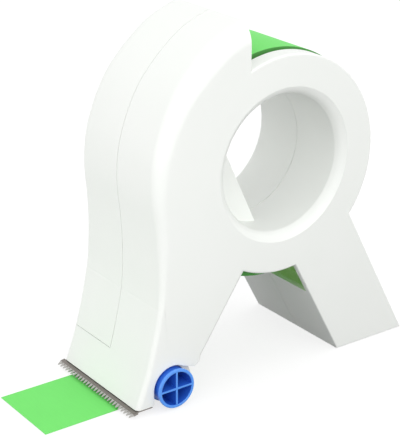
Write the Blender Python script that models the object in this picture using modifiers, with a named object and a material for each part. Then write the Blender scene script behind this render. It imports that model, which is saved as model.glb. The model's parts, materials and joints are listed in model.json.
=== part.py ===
"""Masking tape applicator: a hollow two-part plastic body that carries a roll of tape on a hub
round the finger hole, a roller that presses the tape down, and a toothed cutting blade.

Metres, +Z up. The nose points along -X and the body's left side faces -Y. The tool stands on
its foot and on the tape under its roller, with the origin on the floor below its middle.
"""
import math

import bmesh
import bpy
from mathutils import Vector

# Tape: a 38 mm wide roll on a 76 mm cardboard core
TAPE_WIDTH = 0.038
TAPE_THICKNESS = 0.0003
CORE_BORE_RADIUS = 0.0381
CORE_WALL = 0.003
ROLL_RADIUS = 0.0515
TAPE_END_REACH = 0.1154
TAPE_LIFT = math.radians(12)

# Clearances
PART_GAP = 0.0003
HUB_SLACK = 0.0025
ROLL_SIDE_GAP = 0.003
ROLL_RIM_GAP = 0.0015
SPACER_GAP = 0.0008
ROLLER_GAP = 0.0005
PIN_GAP = 0.0003
CUT_OVERRUN = 0.002
WELD = 0.0000001

# Body
BODY_WIDTH = 0.0594
WALL = 0.0024
JOIN_DEPTH = 0.0004
SPACER_JOIN = 0.0008
BOSS_JOIN = 0.0012
HUB_HEIGHT = 0.097
HUB_TUBE_WALL = 0.0025
HUB_RIB_HEIGHT = 0.0026
HUB_RIB_WIDTH = 0.002
HUB_RIB_COUNT = 8
LIP_RADIUS = 0.0041
LIP_LAND = 0.0002
RIM_RADIUS = 0.0488
HOOD_REACH = 0.0662
HOOD_RISE = 0.0648
HOOD_BACK = 0.0195
SPLIT_HEIGHT = 0.019
SPLIT_ZONE = 0.03
HOOD_ROUND = 0.0095
NOSE_ROUND = 0.0022
RIM_ROUND = 0.0022
LEG_ROUND = 0.0009
INNER_ROUND = 0.0006
HOOD_OPENING_BASE = 0.0096
HOOD_OPENING_TOP = 0.0048

# Leg
LEG_REACH = 0.0736
FOOT_LENGTH = 0.0398
LEG_LEAN = math.radians(61.6)
LEG_WINDOW_LOW = 0.0327
LEG_WINDOW_HIGH = 0.047
LEG_WINDOW_DEPTH = 0.0048

# Nose
NOSE_CLEARANCE = 0.003
NOSE_BAR_DEPTH = 0.0088
NOSE_BAR_TOP = 0.009
NOSE_BACK_LEAN = math.radians(56.3)
HEEL_BACK = 0.0116
HEEL_RISE = 0.0058
HEEL_TOP_BACK = 0.0143
HEEL_TOP_RISE = 0.0078
SLOT_END_ANGLE = math.radians(56)

# Pressing roller and its bearings
ROLLER_SETBACK = 0.0074
ROLLER_RADIUS = 0.009
ROLLER_WALL = 0.0014
ROLLER_CROSS = 0.001
ROLLER_OVERHANG = 0.0031
ROLLER_DIAPHRAGM = 0.002
ROLLER_CHAMFER = 0.0004
GROOVE_DEPTH = 0.0007
BEARING_WIDTH = 0.002
BEARING_RIM = 0.0022
BEARING_DROP_ANGLE = math.radians(20)

# Cutting blade and its screws
BLADE_THICKNESS = 0.0007
BLADE_SIDE_REACH = 0.0005
BLADE_BACK_MARGIN = 0.0006
TOOTH_COUNT = 28
TOOTH_DEPTH = 0.0018
TOOTH_REACH = 0.0038
TOOTH_DROP = 0.0008
SCREW_SPACING = 0.02
SCREW_RADIUS = 0.0011
SCREW_HEAD_RADIUS = 0.002
SCREW_HEAD_HEIGHT = 0.0009
SCREW_HEAD_LAND = 0.0002
SCREW_LENGTH = 0.005
SCREW_SLOT_WIDTH = 0.0005
SCREW_SLOT_DEPTH = 0.0003

# Finger rest, spacers, locating pins and drag springs
REST_OFFSET = 0.0145
REST_THICKNESS = 0.0014
REST_DEPTH = 0.0176
REST_ANGLE = math.radians(205.2)
SPACER_REACH = 0.0455
SPACER_THICKNESS = 0.0016
SPACER_COUNT = 6
SPACER_START = math.radians(67.5)
BOSS_RADIUS = 0.0032
PIN_RADIUS = 0.0016
PIN_LENGTH = 0.006
FOOT_BOSS_HEIGHT = 0.015
BOSS_ANGLES = (math.radians(141), math.radians(-58))
SPRING_THICKNESS = 0.0004
SPRING_WIDTH = 0.01
SPRING_INSET = 0.004
SPRING_ANGLES = {"drag_spring_front": math.radians(-112.5), "drag_spring_rear": math.radians(-67.5)}
SPRING_HALF_SWEEP = math.radians(15)

# Smoothness
ARC_STEP = math.radians(7.5)
SPINE_STEPS = 4
TURN_STEPS = 64
ROLLER_STEPS = 48
SMALL_STEPS = 20
SPRING_STEPS = 12
CAP_TILT = 0.999
SMOOTH_ANGLE = math.radians(30)
EDGE_SEGMENTS = 4

# Sizes that follow from those above
half_width = BODY_WIDTH / 2
inner_half = half_width - WALL
hub_x = (TAPE_END_REACH - LEG_REACH) / 2
hub_rib_radius = CORE_BORE_RADIUS - HUB_SLACK
hub_tube_radius = hub_rib_radius - HUB_RIB_HEIGHT
bore_radius = hub_tube_radius - HUB_TUBE_WALL
roll_height = HUB_HEIGHT + hub_rib_radius + PART_GAP - CORE_BORE_RADIUS
roll_space_radius = ROLL_RADIUS + ROLL_RIM_GAP
roll_slot_half = TAPE_WIDTH / 2 + ROLL_SIDE_GAP
body_height = HUB_HEIGHT + HOOD_RISE
roller_x = hub_x - HOOD_REACH + ROLLER_SETBACK
roller_z = ROLLER_RADIUS + PART_GAP + TAPE_THICKNESS
slot_radius = ROLLER_RADIUS + ROLLER_GAP
slot_front_x = roller_x - slot_radius
nose_tip_x = slot_front_x - NOSE_BAR_DEPTH

# Heights between which the side edge's round grows: shares of the hub's height and of the body's
ROUND_LOW_SHARE = 0.45
ROUND_HIGH_SHARE = 0.93

# Front outline above the hub: shares of the hood's reach and of its rise above the hub
HOOD_SHARES = ((0.553, 0.875), (0.819, 0.606), (0.964, 0.282), (1.0, 0.0))
# Front outline below the hub: shares of the hood's reach and of the hub's height
NECK_SHARES = ((0.976, 0.81), (0.968, 0.655), (0.986, 0.463), (1.076, 0.201))


def collection_named(name):
    collection = bpy.data.collections.new(name)
    bpy.context.scene.collection.children.link(collection)
    return collection


def clear_scene():
    for old in list(bpy.data.objects):
        bpy.data.objects.remove(old, do_unlink=True)


def polar(radius, angle, centre=(0.0, 0.0)):
    return centre[0] + radius * math.cos(angle), centre[1] + radius * math.sin(angle)


def arc(centre, radius, start, end):
    """Points along an arc, both ends included."""
    steps = max(2, math.ceil(abs(end - start) / ARC_STEP))
    return [polar(radius, start + (end - start) * i / steps, centre) for i in range(steps + 1)]


def smooth_path(points):
    """A Catmull-Rom curve through the points."""
    path = []
    padded = [points[0], *points, points[-1]]
    for a, b, c, d in zip(padded, padded[1:], padded[2:], padded[3:]):
        for i in range(SPINE_STEPS):
            t = i / SPINE_STEPS
            weights = (
                -t + 2 * t**2 - t**3,
                2 - 5 * t**2 + 3 * t**3,
                t + 4 * t**2 - 3 * t**3,
                -(t**2) + t**3,
            )
            path.append(tuple(sum(w * p[k] for w, p in zip(weights, (a, b, c, d))) / 2 for k in (0, 1)))
    path.append(points[-1])
    return path


def inset_path(path, distance):
    """An open path moved to its left-hand side, corner by corner."""
    moved = []
    for i, point in enumerate(path):
        before = Vector(path[max(i - 1, 0)])
        after = Vector(path[min(i + 1, len(path) - 1)])
        along = (after - before).normalized()
        moved.append((point[0] - along.y * distance, point[1] + along.x * distance))
    return moved


def rim_angle(radius, point, lean_vector):
    """Where a line through the point meets a circle round the hub, nearest along the line."""
    start = Vector(point) - Vector((hub_x, HUB_HEIGHT))
    b = start.dot(lean_vector)
    c = start.length_squared - radius**2
    hit = start + lean_vector * (-b - math.sqrt(b * b - c))
    return math.atan2(hit.y, hit.x)


def leg_front_x(height, inset=0.0):
    return hub_x + LEG_REACH - FOOT_LENGTH - height / math.tan(LEG_LEAN) + inset / math.sin(LEG_LEAN)


def leg_rear_x(height, inset=0.0):
    return hub_x + LEG_REACH - height / math.tan(LEG_LEAN) - inset / math.sin(LEG_LEAN)


def spine_points():
    """The front of the body on its middle plane, from the hood's back down to the nose tip."""
    points = [(hub_x - HOOD_BACK, body_height)]
    for reach, rise in HOOD_SHARES:
        points.append((hub_x - HOOD_REACH * reach, HUB_HEIGHT + HOOD_RISE * rise))
    for reach, rise in NECK_SHARES:
        points.append((hub_x - HOOD_REACH * reach, HUB_HEIGHT * rise))
    points.append((nose_tip_x, NOSE_CLEARANCE))
    return smooth_path(points)


def below_hub(radius, inset):
    """The belly, the leg and the rear rim, from the back of the nose round to the hood's back."""
    back = Vector((math.cos(NOSE_BACK_LEAN), math.sin(NOSE_BACK_LEAN)))
    leg_up = Vector((-math.cos(LEG_LEAN), math.sin(LEG_LEAN)))
    heel = (
        roller_x + HEEL_TOP_BACK - inset / math.sin(NOSE_BACK_LEAN),
        roller_z + HEEL_TOP_RISE,
    )
    centre = (hub_x, HUB_HEIGHT)
    belly_start = rim_angle(radius, heel, back)
    belly_end = rim_angle(radius, (leg_front_x(inset, inset), inset), leg_up)
    rear_start = rim_angle(radius, (leg_rear_x(inset, inset), inset), leg_up)
    hood_end = math.acos(-(HOOD_BACK + inset) / radius)
    foot = [(leg_front_x(inset, inset), inset), (leg_rear_x(inset, inset), inset)]
    return (
        arc(centre, radius, belly_start, belly_end)
        + foot
        + arc(centre, radius, rear_start, hood_end)
    )


def body_outline():
    """The body's side view, anticlockwise from the hood's back."""
    slot = arc((roller_x, roller_z), slot_radius, math.pi, SLOT_END_ANGLE)
    heel = [
        (roller_x + HEEL_BACK, roller_z + HEEL_RISE),
        (roller_x + HEEL_TOP_BACK, roller_z + HEEL_TOP_RISE),
    ]
    nose = [(slot_front_x, NOSE_CLEARANCE)]
    return spine_points() + nose + slot + heel + below_hub(RIM_RADIUS, 0.0)


def cavity_outline():
    """The hollow's side view: the body's, one wall further in, and open round the roller."""
    back_x = hub_x - HOOD_BACK - WALL
    spine = [p for p in inset_path(spine_points(), WALL) if p[1] > NOSE_BAR_TOP and p[0] < back_x - WALL]
    spine = [(back_x, spine[0][1])] + spine
    heel_x = roller_x + HEEL_TOP_BACK - WALL / math.sin(NOSE_BACK_LEAN)
    heel_z = roller_z + HEEL_TOP_RISE
    drop_x = heel_x - (heel_z - roller_z) / math.tan(NOSE_BACK_LEAN)
    floor = [
        (spine[-1][0], NOSE_BAR_TOP),
        (slot_front_x, NOSE_BAR_TOP),
        (slot_front_x, -CUT_OVERRUN),
        (drop_x, -CUT_OVERRUN),
        (drop_x, roller_z),
    ]
    return spine + floor + below_hub(RIM_RADIUS - WALL, WALL)


def edge_round(x, z):
    """Radius of the body's side edge: large over the hood, tight at the nose and the rim."""
    if on_rim(x, z) or x > hub_x:
        return RIM_ROUND
    low = HUB_HEIGHT * ROUND_LOW_SHARE
    high = body_height * ROUND_HIGH_SHARE
    share = min(max((z - low) / (high - low), 0.0), 1.0)
    return NOSE_ROUND + (HOOD_ROUND - NOSE_ROUND) * share


def on_rim(x, z):
    from_hub = math.hypot(x - hub_x, z - HUB_HEIGHT)
    return from_hub < RIM_RADIUS + PART_GAP


def meshed(guide, keep_flat_caps):
    """The guide's evaluated mesh as a new mesh, closed, with each flat cap as one face."""
    bpy.context.view_layer.update()
    evaluated = guide.evaluated_get(bpy.context.evaluated_depsgraph_get())
    mesh = bpy.data.meshes.new_from_object(evaluated)
    mesh.transform(guide.matrix_world)
    bpy.data.objects.remove(guide, do_unlink=True)
    bm = bmesh.new()
    bm.from_mesh(mesh)
    bmesh.ops.remove_doubles(bm, verts=bm.verts, dist=WELD)
    bmesh.ops.recalc_face_normals(bm, faces=bm.faces)
    if keep_flat_caps:
        for side in (-1.0, 1.0):
            cap = [face for face in bm.faces if face.normal.y * side > CAP_TILT]
            bmesh.ops.dissolve_faces(bm, faces=cap)
    bm.to_mesh(mesh)
    bm.free()
    return mesh


def plate(name, outlines, low, high, collection, one_cap=False):
    """A flat outline in X and Z, drawn as a 2D curve and extruded along Y from low to high."""
    curve = bpy.data.curves.new(name, "CURVE")
    curve.dimensions = "2D"
    curve.fill_mode = "BOTH"
    curve.extrude = (high - low) / 2
    for outline in outlines:
        spline = curve.splines.new("POLY")
        spline.points.add(len(outline) - 1)
        for point, (x, z) in zip(spline.points, outline):
            point.co = (x, z, 0.0, 1.0)
        spline.use_cyclic_u = True
    guide = bpy.data.objects.new(name + "_guide", curve)
    guide.rotation_euler = (math.pi / 2, 0.0, 0.0)
    guide.location = (0.0, (low + high) / 2, 0.0)
    collection.objects.link(guide)
    piece = bpy.data.objects.new(name, meshed(guide, one_cap))
    collection.objects.link(piece)
    return piece


def turned(name, profile, steps, location, rotation, collection):
    """A profile of radius and height, turned round the local Z axis by a Screw modifier."""
    mesh = bpy.data.meshes.new(name)
    closed = profile[0][0] > 0
    count = len(profile)
    edges = [(i, (i + 1) % count) for i in range(count if closed else count - 1)]
    mesh.from_pydata([(radius, 0.0, height) for radius, height in profile], edges, [])
    piece = bpy.data.objects.new(name, mesh)
    piece.location = location
    piece.rotation_euler = rotation
    collection.objects.link(piece)
    screw = piece.modifiers.new("turn", "SCREW")
    screw.steps = steps
    screw.render_steps = steps
    screw.use_merge_vertices = True
    screw.merge_threshold = WELD
    screw.use_smooth_shade = True
    return piece


ALONG_Y = (-math.pi / 2, 0.0, 0.0)
UPRIGHT = (0.0, 0.0, 0.0)


def rod(name, centre, radius, low, high, collection, steps):
    """A round bar along Y."""
    profile = [(0.0, high), (radius, high), (radius, low), (0.0, low)]
    return turned(name, profile, steps, (centre[0], 0.0, centre[1]), ALONG_Y, collection)


def box(name, low, high, collection):
    """A box between two corners."""
    mesh = bpy.data.meshes.new(name)
    bm = bmesh.new()
    bmesh.ops.create_cube(bm, size=1.0)
    middle = (Vector(low) + Vector(high)) / 2
    size = Vector(high) - Vector(low)
    bmesh.ops.scale(bm, vec=size, verts=bm.verts)
    bmesh.ops.translate(bm, vec=middle, verts=bm.verts)
    bm.to_mesh(mesh)
    bm.free()
    piece = bpy.data.objects.new(name, mesh)
    collection.objects.link(piece)
    return piece


def combine(piece, other, operation):
    """A boolean with the manifold solver: the exact one leaves the thin shells open."""
    other.hide_render = True
    other.display_type = "WIRE"
    boolean = piece.modifiers.new(other.name, "BOOLEAN")
    boolean.operation = operation
    boolean.solver = "MANIFOLD"
    boolean.object = other
    return piece


def cut(piece, *others):
    for other in others:
        combine(piece, other, "DIFFERENCE")
    return piece


def add(piece, *others):
    for other in others:
        combine(piece, other, "UNION")
    return piece


def baked(piece, name, collection):
    """A copy of the piece with its modifiers applied."""
    bpy.context.view_layer.update()
    evaluated = piece.evaluated_get(bpy.context.evaluated_depsgraph_get())
    copy = bpy.data.objects.new(name, bpy.data.meshes.new_from_object(evaluated))
    collection.objects.link(copy)
    return copy


def round_side_edges(piece, radius_at, side, largest):
    """Bevel the outline's edges at both side planes, by a radius that varies along them."""
    mesh = piece.data
    weights = mesh.attributes.new("bevel_weight_edge", "FLOAT", "EDGE")
    for edge in mesh.edges:
        a, b = (mesh.vertices[i].co for i in edge.vertices)
        if abs(abs(a.y) - side) < WELD and abs(a.y - b.y) < WELD:
            middle = (a + b) / 2
            weights.data[edge.index].value = radius_at(middle.x, middle.z) / largest
    bevel = piece.modifiers.new("rounding", "BEVEL")
    bevel.limit_method = "WEIGHT"
    bevel.width = largest
    bevel.segments = EDGE_SEGMENTS
    bevel.use_clamp_overlap = False


def finish(piece, material, smooth=True):
    piece.data.materials.clear()
    piece.data.materials.append(material)
    if smooth:
        piece.data.shade_smooth()
        piece.data.set_sharp_from_angle(angle=SMOOTH_ANGLE)


def material(name, colour, roughness, metallic=0.0):
    made = bpy.data.materials.new(name)
    made.use_nodes = True
    shader = made.node_tree.nodes["Principled BSDF"]
    shader.inputs["Base Color"].default_value = (*colour, 1.0)
    shader.inputs["Roughness"].default_value = roughness
    shader.inputs["Metallic"].default_value = metallic
    return made


def body_edge(x, z):
    if abs(x - hub_x + HOOD_BACK) < PART_GAP and not on_rim(x, z):
        return 0.0
    if z < roller_z + HEEL_TOP_RISE + PART_GAP and slot_front_x - PART_GAP < x < hub_x:
        return 0.0
    if z <= NOSE_CLEARANCE and x < hub_x:
        return 0.0
    if z < HUB_HEIGHT and x > leg_front_x(z) - PART_GAP and not on_rim(x, z):
        return LEG_ROUND
    return edge_round(x, z)


def body_blank(guides):
    """The whole body as one rounded solid."""
    blank = plate("body_blank", [body_outline()], -half_width, half_width, guides, one_cap=True)
    round_side_edges(blank, body_edge, half_width, HOOD_ROUND)
    return blank


def cavity_edge(x, z):
    if z <= NOSE_BAR_TOP or abs(x - hub_x + HOOD_BACK + WALL) < PART_GAP:
        return 0.0
    return max(edge_round(x, z) - WALL, INNER_ROUND)


def body_hollow(guides):
    hollow = plate("body_hollow", [cavity_outline()], -inner_half, inner_half, guides, one_cap=True)
    round_side_edges(hollow, cavity_edge, inner_half, HOOD_ROUND)
    return hollow


def roll_slot(guides):
    """The slot that shows the roll: round the rim, behind the hood and at the top of the leg."""
    centre = (hub_x, roll_height)
    disc = rod("roll_space", centre, roll_space_radius, -roll_slot_half, roll_slot_half, guides, TURN_STEPS)
    hood_back = box(
        "hood_back_opening",
        (hub_x - HOOD_BACK - WALL - CUT_OVERRUN, -roll_slot_half, HUB_HEIGHT + RIM_RADIUS - HOOD_OPENING_BASE),
        (hub_x - HOOD_BACK + CUT_OVERRUN, roll_slot_half, body_height - HOOD_OPENING_TOP),
        guides,
    )
    leg_window = box(
        "leg_window",
        (leg_front_x(LEG_WINDOW_HIGH) - CUT_OVERRUN, PART_GAP - inner_half, LEG_WINDOW_LOW),
        (leg_front_x(LEG_WINDOW_LOW) + LEG_WINDOW_DEPTH, inner_half - PART_GAP, LEG_WINDOW_HIGH),
        guides,
    )
    return disc, hood_back, leg_window


def hub_outline():
    """The hub tube's outside, with ribs that the core rides on."""
    half_rib = math.asin(HUB_RIB_WIDTH / 2 / hub_rib_radius)
    pitch = math.tau / HUB_RIB_COUNT
    centre = (hub_x, HUB_HEIGHT)
    points = []
    for i in range(HUB_RIB_COUNT):
        middle = math.pi / 2 + i * pitch
        points += [polar(hub_rib_radius, middle - half_rib, centre), polar(hub_rib_radius, middle + half_rib, centre)]
        points += arc(centre, hub_tube_radius, middle + half_rib, middle + pitch - half_rib)
    return points


def bore_cutter(guides):
    """The finger hole, flared into a round lip at both sides."""
    flare = bore_radius + LIP_RADIUS
    end = half_width + CUT_OVERRUN
    steps = EDGE_SEGMENTS + 1
    lip = [
        (
            flare - LIP_RADIUS * math.sin(math.pi / 2 * i / steps),
            half_width - LIP_LAND - LIP_RADIUS * (1 - math.cos(math.pi / 2 * i / steps)),
        )
        for i in range(steps + 1)
    ]
    upper = [(flare, end)] + lip
    lower = [(radius, -height) for radius, height in reversed(upper)]
    profile = [(0.0, end)] + upper + lower + [(0.0, -end)]
    return turned("finger_bore", profile, TURN_STEPS, (hub_x, 0.0, HUB_HEIGHT), ALONG_Y, guides)


def spacer_outlines():
    """Radial ribs that keep the roll off the side walls."""
    outlines = []
    for i in range(SPACER_COUNT):
        out = Vector(polar(1.0, SPACER_START + i * math.tau / SPACER_COUNT))
        across = Vector((-out.y, out.x)) * SPACER_THICKNESS / 2
        centre = Vector((hub_x, HUB_HEIGHT))
        near = centre + out * (hub_tube_radius - HUB_TUBE_WALL / 2)
        far = centre + out * SPACER_REACH
        outlines.append([tuple(near - across), tuple(far - across), tuple(far + across), tuple(near + across)])
    return outlines


def boss_centres():
    """Three bosses just outside the roll, one of them in the nose's back, and one low in the leg."""
    ring = roll_space_radius + BOSS_RADIUS + PART_GAP * 2
    centres = [polar(ring, angle, (hub_x, roll_height)) for angle in BOSS_ANGLES]
    inset = WALL + BOSS_RADIUS + PART_GAP * 2
    heel = (roller_x + HEEL_TOP_BACK - inset / math.sin(NOSE_BACK_LEAN), roller_z + HEEL_TOP_RISE)
    back = Vector((math.cos(NOSE_BACK_LEAN), math.sin(NOSE_BACK_LEAN)))
    outer_ring = ring + HUB_HEIGHT - roll_height
    nose_boss = polar(outer_ring, rim_angle(outer_ring, heel, back), (hub_x, HUB_HEIGHT))
    foot_x = (leg_front_x(FOOT_BOSS_HEIGHT) + leg_rear_x(FOOT_BOSS_HEIGHT)) / 2
    return centres + [nose_boss, (foot_x, FOOT_BOSS_HEIGHT)]


def bearing_pockets(guides):
    radius = ROLLER_RADIUS + BEARING_RIM + PART_GAP
    depth = BEARING_WIDTH + PART_GAP * 2
    spans = {"pocket_left": (-inner_half, -inner_half + depth), "pocket_right": (inner_half - depth, inner_half)}
    centre = (roller_x, roller_z)
    return [rod(name, centre, radius, low, high, guides, ROLLER_STEPS) for name, (low, high) in spans.items()]


def screw_places():
    x = (slot_front_x + nose_tip_x) / 2
    return {
        "blade_screw_left": (x, -SCREW_SPACING),
        "blade_screw_middle": (x, 0.0),
        "blade_screw_right": (x, SCREW_SPACING),
    }


def screw_holes(guides, radius, low, high, prefix):
    holes = []
    for name, (x, y) in screw_places().items():
        profile = [(0.0, high), (radius, high), (radius, low), (0.0, low)]
        holes.append(turned(prefix + name, profile, SMALL_STEPS, (x, y, 0.0), UPRIGHT, guides))
    return holes


def whole_body(guides):
    """Both halves of the body before they part."""
    body = cut(body_blank(guides), body_hollow(guides), *roll_slot(guides))
    add(body, plate("hub_tube", [hub_outline()], -inner_half - JOIN_DEPTH, inner_half + JOIN_DEPTH, guides))
    spacer_low = TAPE_WIDTH / 2 + SPACER_GAP
    for side in (-1, 1):
        low, high = sorted((side * spacer_low, side * (inner_half + SPACER_JOIN)))
        add(body, plate("spacers", spacer_outlines(), low, high, guides))
    for i, centre in enumerate(boss_centres()):
        span = inner_half + BOSS_JOIN
        add(body, rod(f"boss_{i}", centre, BOSS_RADIUS, -span, span, guides, SMALL_STEPS))
    cut(body, bore_cutter(guides), *bearing_pockets(guides))
    bar_top = NOSE_CLEARANCE + SCREW_LENGTH + PART_GAP
    cut(body, *screw_holes(guides, SCREW_RADIUS + PIN_GAP, -CUT_OVERRUN, bar_top, "bar_hole_"))
    return body


def parting_cutters(guides):
    """The space of each half, parted on the middle plane and above the nose's one-piece end."""
    left, right = hub_x - HOOD_REACH * 2, hub_x + LEG_REACH * 2
    top, bottom = body_height * 2, -body_height
    side = BODY_WIDTH
    gap = PART_GAP / 2
    step = hub_x - SPLIT_ZONE
    right_space = [
        (left, SPLIT_HEIGHT), (step, SPLIT_HEIGHT), (step, bottom), (right, bottom), (right, top), (left, top),
    ]
    nose_space = [
        (left, SPLIT_HEIGHT + PART_GAP), (left, bottom), (step, bottom), (step, SPLIT_HEIGHT + PART_GAP),
    ]
    whole = [(left, bottom), (right, bottom), (right, top), (left, top)]
    from_left = plate("right_half_space", [right_space], -gap, side, guides)
    from_right = (
        plate("left_half_space", [whole], -side, gap, guides),
        plate("nose_end_space", [nose_space], -side, side, guides),
    )
    return from_left, from_right


def finger_rest(guides):
    """A flat web across the low front part of the finger hole."""
    half_sweep = math.acos(REST_OFFSET / bore_radius)
    centre = (hub_x, HUB_HEIGHT)
    rim = arc(centre, bore_radius + HUB_TUBE_WALL / 2, REST_ANGLE - half_sweep, REST_ANGLE + half_sweep)
    low = -half_width + REST_DEPTH
    return plate("finger_rest", [rim], low, low + REST_THICKNESS, guides)


def left_shell(body, from_left, guides, parts, white):
    """The half that carries the nose, the roller, the blade and the finger rest."""
    shell = baked(body, "left_shell", parts)
    cut(shell, from_left)
    add(shell, finger_rest(guides))
    for i, centre in enumerate(boss_centres()):
        add(shell, rod(f"locating_pin_{i}", centre, PIN_RADIUS, -CUT_OVERRUN, PIN_LENGTH, guides, SMALL_STEPS))
    finish(shell, white)


def right_shell(body, from_right, guides, parts, white):
    """The half that pulls off sideways to load a roll."""
    shell = baked(body, "right_shell", parts)
    cut(shell, *from_right)
    depth = PIN_LENGTH + PART_GAP * 2
    for i, centre in enumerate(boss_centres()):
        cut(shell, rod(f"pin_socket_{i}", centre, PIN_RADIUS + PIN_GAP, -CUT_OVERRUN, depth, guides, SMALL_STEPS))
    finish(shell, white)


def roller_pockets(guides):
    """Four deep pockets at each end, parted by a cross of thin ribs."""
    radius = ROLLER_RADIUS - ROLLER_WALL
    half_rib = ROLLER_CROSS / 2
    lean = math.asin(half_rib / radius)
    outlines = []
    for quarter in range(4):
        start = quarter * math.pi / 2
        corner = polar(half_rib * math.sqrt(2), start + math.pi / 4)
        outlines.append([corner] + arc((0.0, 0.0), radius, start + lean, start + math.pi / 2 - lean))
    placed = [[(x + roller_x, z + roller_z) for x, z in outline] for outline in outlines]
    deep = ROLLER_DIAPHRAGM / 2
    end = half_width + ROLLER_OVERHANG + CUT_OVERRUN
    return plate("pockets_left", placed, -end, -deep, guides), plate("pockets_right", placed, deep, end, guides)


def press_roller(guides, parts, blue):
    """A moulded tube with closed middle, turning in two grooves near its ends."""
    end = half_width + ROLLER_OVERHANG
    groove_out = inner_half
    groove_in = inner_half - BEARING_WIDTH - PART_GAP * 2
    low_radius = ROLLER_RADIUS - GROOVE_DEPTH
    upper = [
        (0.0, end),
        (ROLLER_RADIUS - ROLLER_CHAMFER, end),
        (ROLLER_RADIUS, end - ROLLER_CHAMFER),
        (ROLLER_RADIUS, groove_out),
        (low_radius, groove_out),
        (low_radius, groove_in),
        (ROLLER_RADIUS, groove_in),
    ]
    lower = [(radius, -height) for radius, height in reversed(upper)]
    place = (roller_x, 0.0, roller_z)
    roller = turned("press_roller", upper + lower, ROLLER_STEPS, place, ALONG_Y, parts)
    cut(roller, *roller_pockets(guides))
    finish(roller, blue, smooth=False)


def roller_bearings(parts, pale):
    """A snap-in ring, open below, in a pocket at each end of the nose."""
    inner = ROLLER_RADIUS - GROOVE_DEPTH + PART_GAP
    outer = ROLLER_RADIUS + BEARING_RIM
    start, end = -BEARING_DROP_ANGLE, math.pi + BEARING_DROP_ANGLE
    centre = (roller_x, roller_z)
    outline = arc(centre, outer, start, end) + arc(centre, inner, end, start)
    for name, side in (("roller_bearing_left", -1), ("roller_bearing_right", 1)):
        outside = side * (inner_half - PART_GAP)
        low, high = sorted((outside, outside - side * BEARING_WIDTH))
        finish(plate(name, [outline], low, high, parts), pale)


def cutting_blade(guides, parts, steel):
    """A steel strip under the nose, with its toothed front edge bent down."""
    top = NOSE_CLEARANCE - PART_GAP
    side = half_width + BLADE_SIDE_REACH
    front = nose_tip_x
    pitch = 2 * side / TOOTH_COUNT
    root = front - TOOTH_REACH + TOOTH_DEPTH
    outline = [(slot_front_x - BLADE_BACK_MARGIN, -side), (root, -side)]
    for i in range(TOOTH_COUNT):
        outline += [(front - TOOTH_REACH, -side + (i + 0.5) * pitch), (root, -side + (i + 1) * pitch)]
    outline += [(slot_front_x - BLADE_BACK_MARGIN, side)]
    curve = bpy.data.curves.new("blade_outline", "CURVE")
    curve.dimensions = "2D"
    curve.fill_mode = "BOTH"
    curve.extrude = BLADE_THICKNESS / 2
    spline = curve.splines.new("POLY")
    spline.points.add(len(outline) - 1)
    for point, (x, y) in zip(spline.points, outline):
        point.co = (x, y, 0.0, 1.0)
    spline.use_cyclic_u = True
    guide = bpy.data.objects.new("blade_guide", curve)
    guide.location.z = top - BLADE_THICKNESS / 2
    guides.objects.link(guide)
    mesh = meshed(guide, keep_flat_caps=False)
    bm = bmesh.new()
    bm.from_mesh(mesh)
    geometry = bm.verts[:] + bm.edges[:] + bm.faces[:]
    bmesh.ops.bisect_plane(bm, geom=geometry, plane_co=(front, 0.0, 0.0), plane_no=(1.0, 0.0, 0.0), dist=WELD)
    for vertex in bm.verts:
        ahead = max(front - vertex.co.x, 0.0)
        vertex.co.z -= TOOTH_DROP * ahead / TOOTH_REACH
    bm.to_mesh(mesh)
    bm.free()
    blade = bpy.data.objects.new("cutting_blade", mesh)
    parts.objects.link(blade)
    low = top - BLADE_THICKNESS
    for name, (x, y) in screw_places().items():
        head = SCREW_HEAD_RADIUS + PIN_GAP
        shank = SCREW_RADIUS + PIN_GAP
        profile = [(0.0, top + CUT_OVERRUN), (shank, top + CUT_OVERRUN), (shank, low + SCREW_HEAD_HEIGHT)]
        profile += [(head, low + SCREW_HEAD_LAND), (head, low - CUT_OVERRUN), (0.0, low - CUT_OVERRUN)]
        cut(blade, turned("countersink_" + name, profile, SMALL_STEPS, (x, y, 0.0), UPRIGHT, guides))
    finish(blade, steel)


def blade_screws(guides, parts, steel):
    """Countersunk screws, flush under the blade, up into the nose bar."""
    low = NOSE_CLEARANCE - PART_GAP - BLADE_THICKNESS
    for name, place in screw_places().items():
        profile = [
            (0.0, low + SCREW_LENGTH),
            (SCREW_RADIUS, low + SCREW_LENGTH),
            (SCREW_RADIUS, low + SCREW_HEAD_HEIGHT),
            (SCREW_HEAD_RADIUS, low + SCREW_HEAD_LAND),
            (SCREW_HEAD_RADIUS, low),
            (0.0, low),
        ]
        screw = turned(name, profile, SMALL_STEPS, (*place, 0.0), UPRIGHT, parts)
        x, y = place
        slot = box(
            "slot_" + name,
            (x - SCREW_SLOT_WIDTH / 2, y - SCREW_HEAD_RADIUS * 2, low - CUT_OVERRUN),
            (x + SCREW_SLOT_WIDTH / 2, y + SCREW_HEAD_RADIUS * 2, low + SCREW_SLOT_DEPTH),
            guides,
        )
        cut(screw, slot)
        finish(screw, steel, smooth=False)


def ring(name, inner, outer, parts, finish_material):
    """A tube along Y, as wide as the tape, centred on the roll's axis."""
    half = TAPE_WIDTH / 2
    profile = [(outer, half), (outer, -half), (inner, -half), (inner, half)]
    tube = turned(name, profile, TURN_STEPS, (hub_x, 0.0, roll_height), ALONG_Y, parts)
    finish(tube, finish_material, smooth=False)


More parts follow.
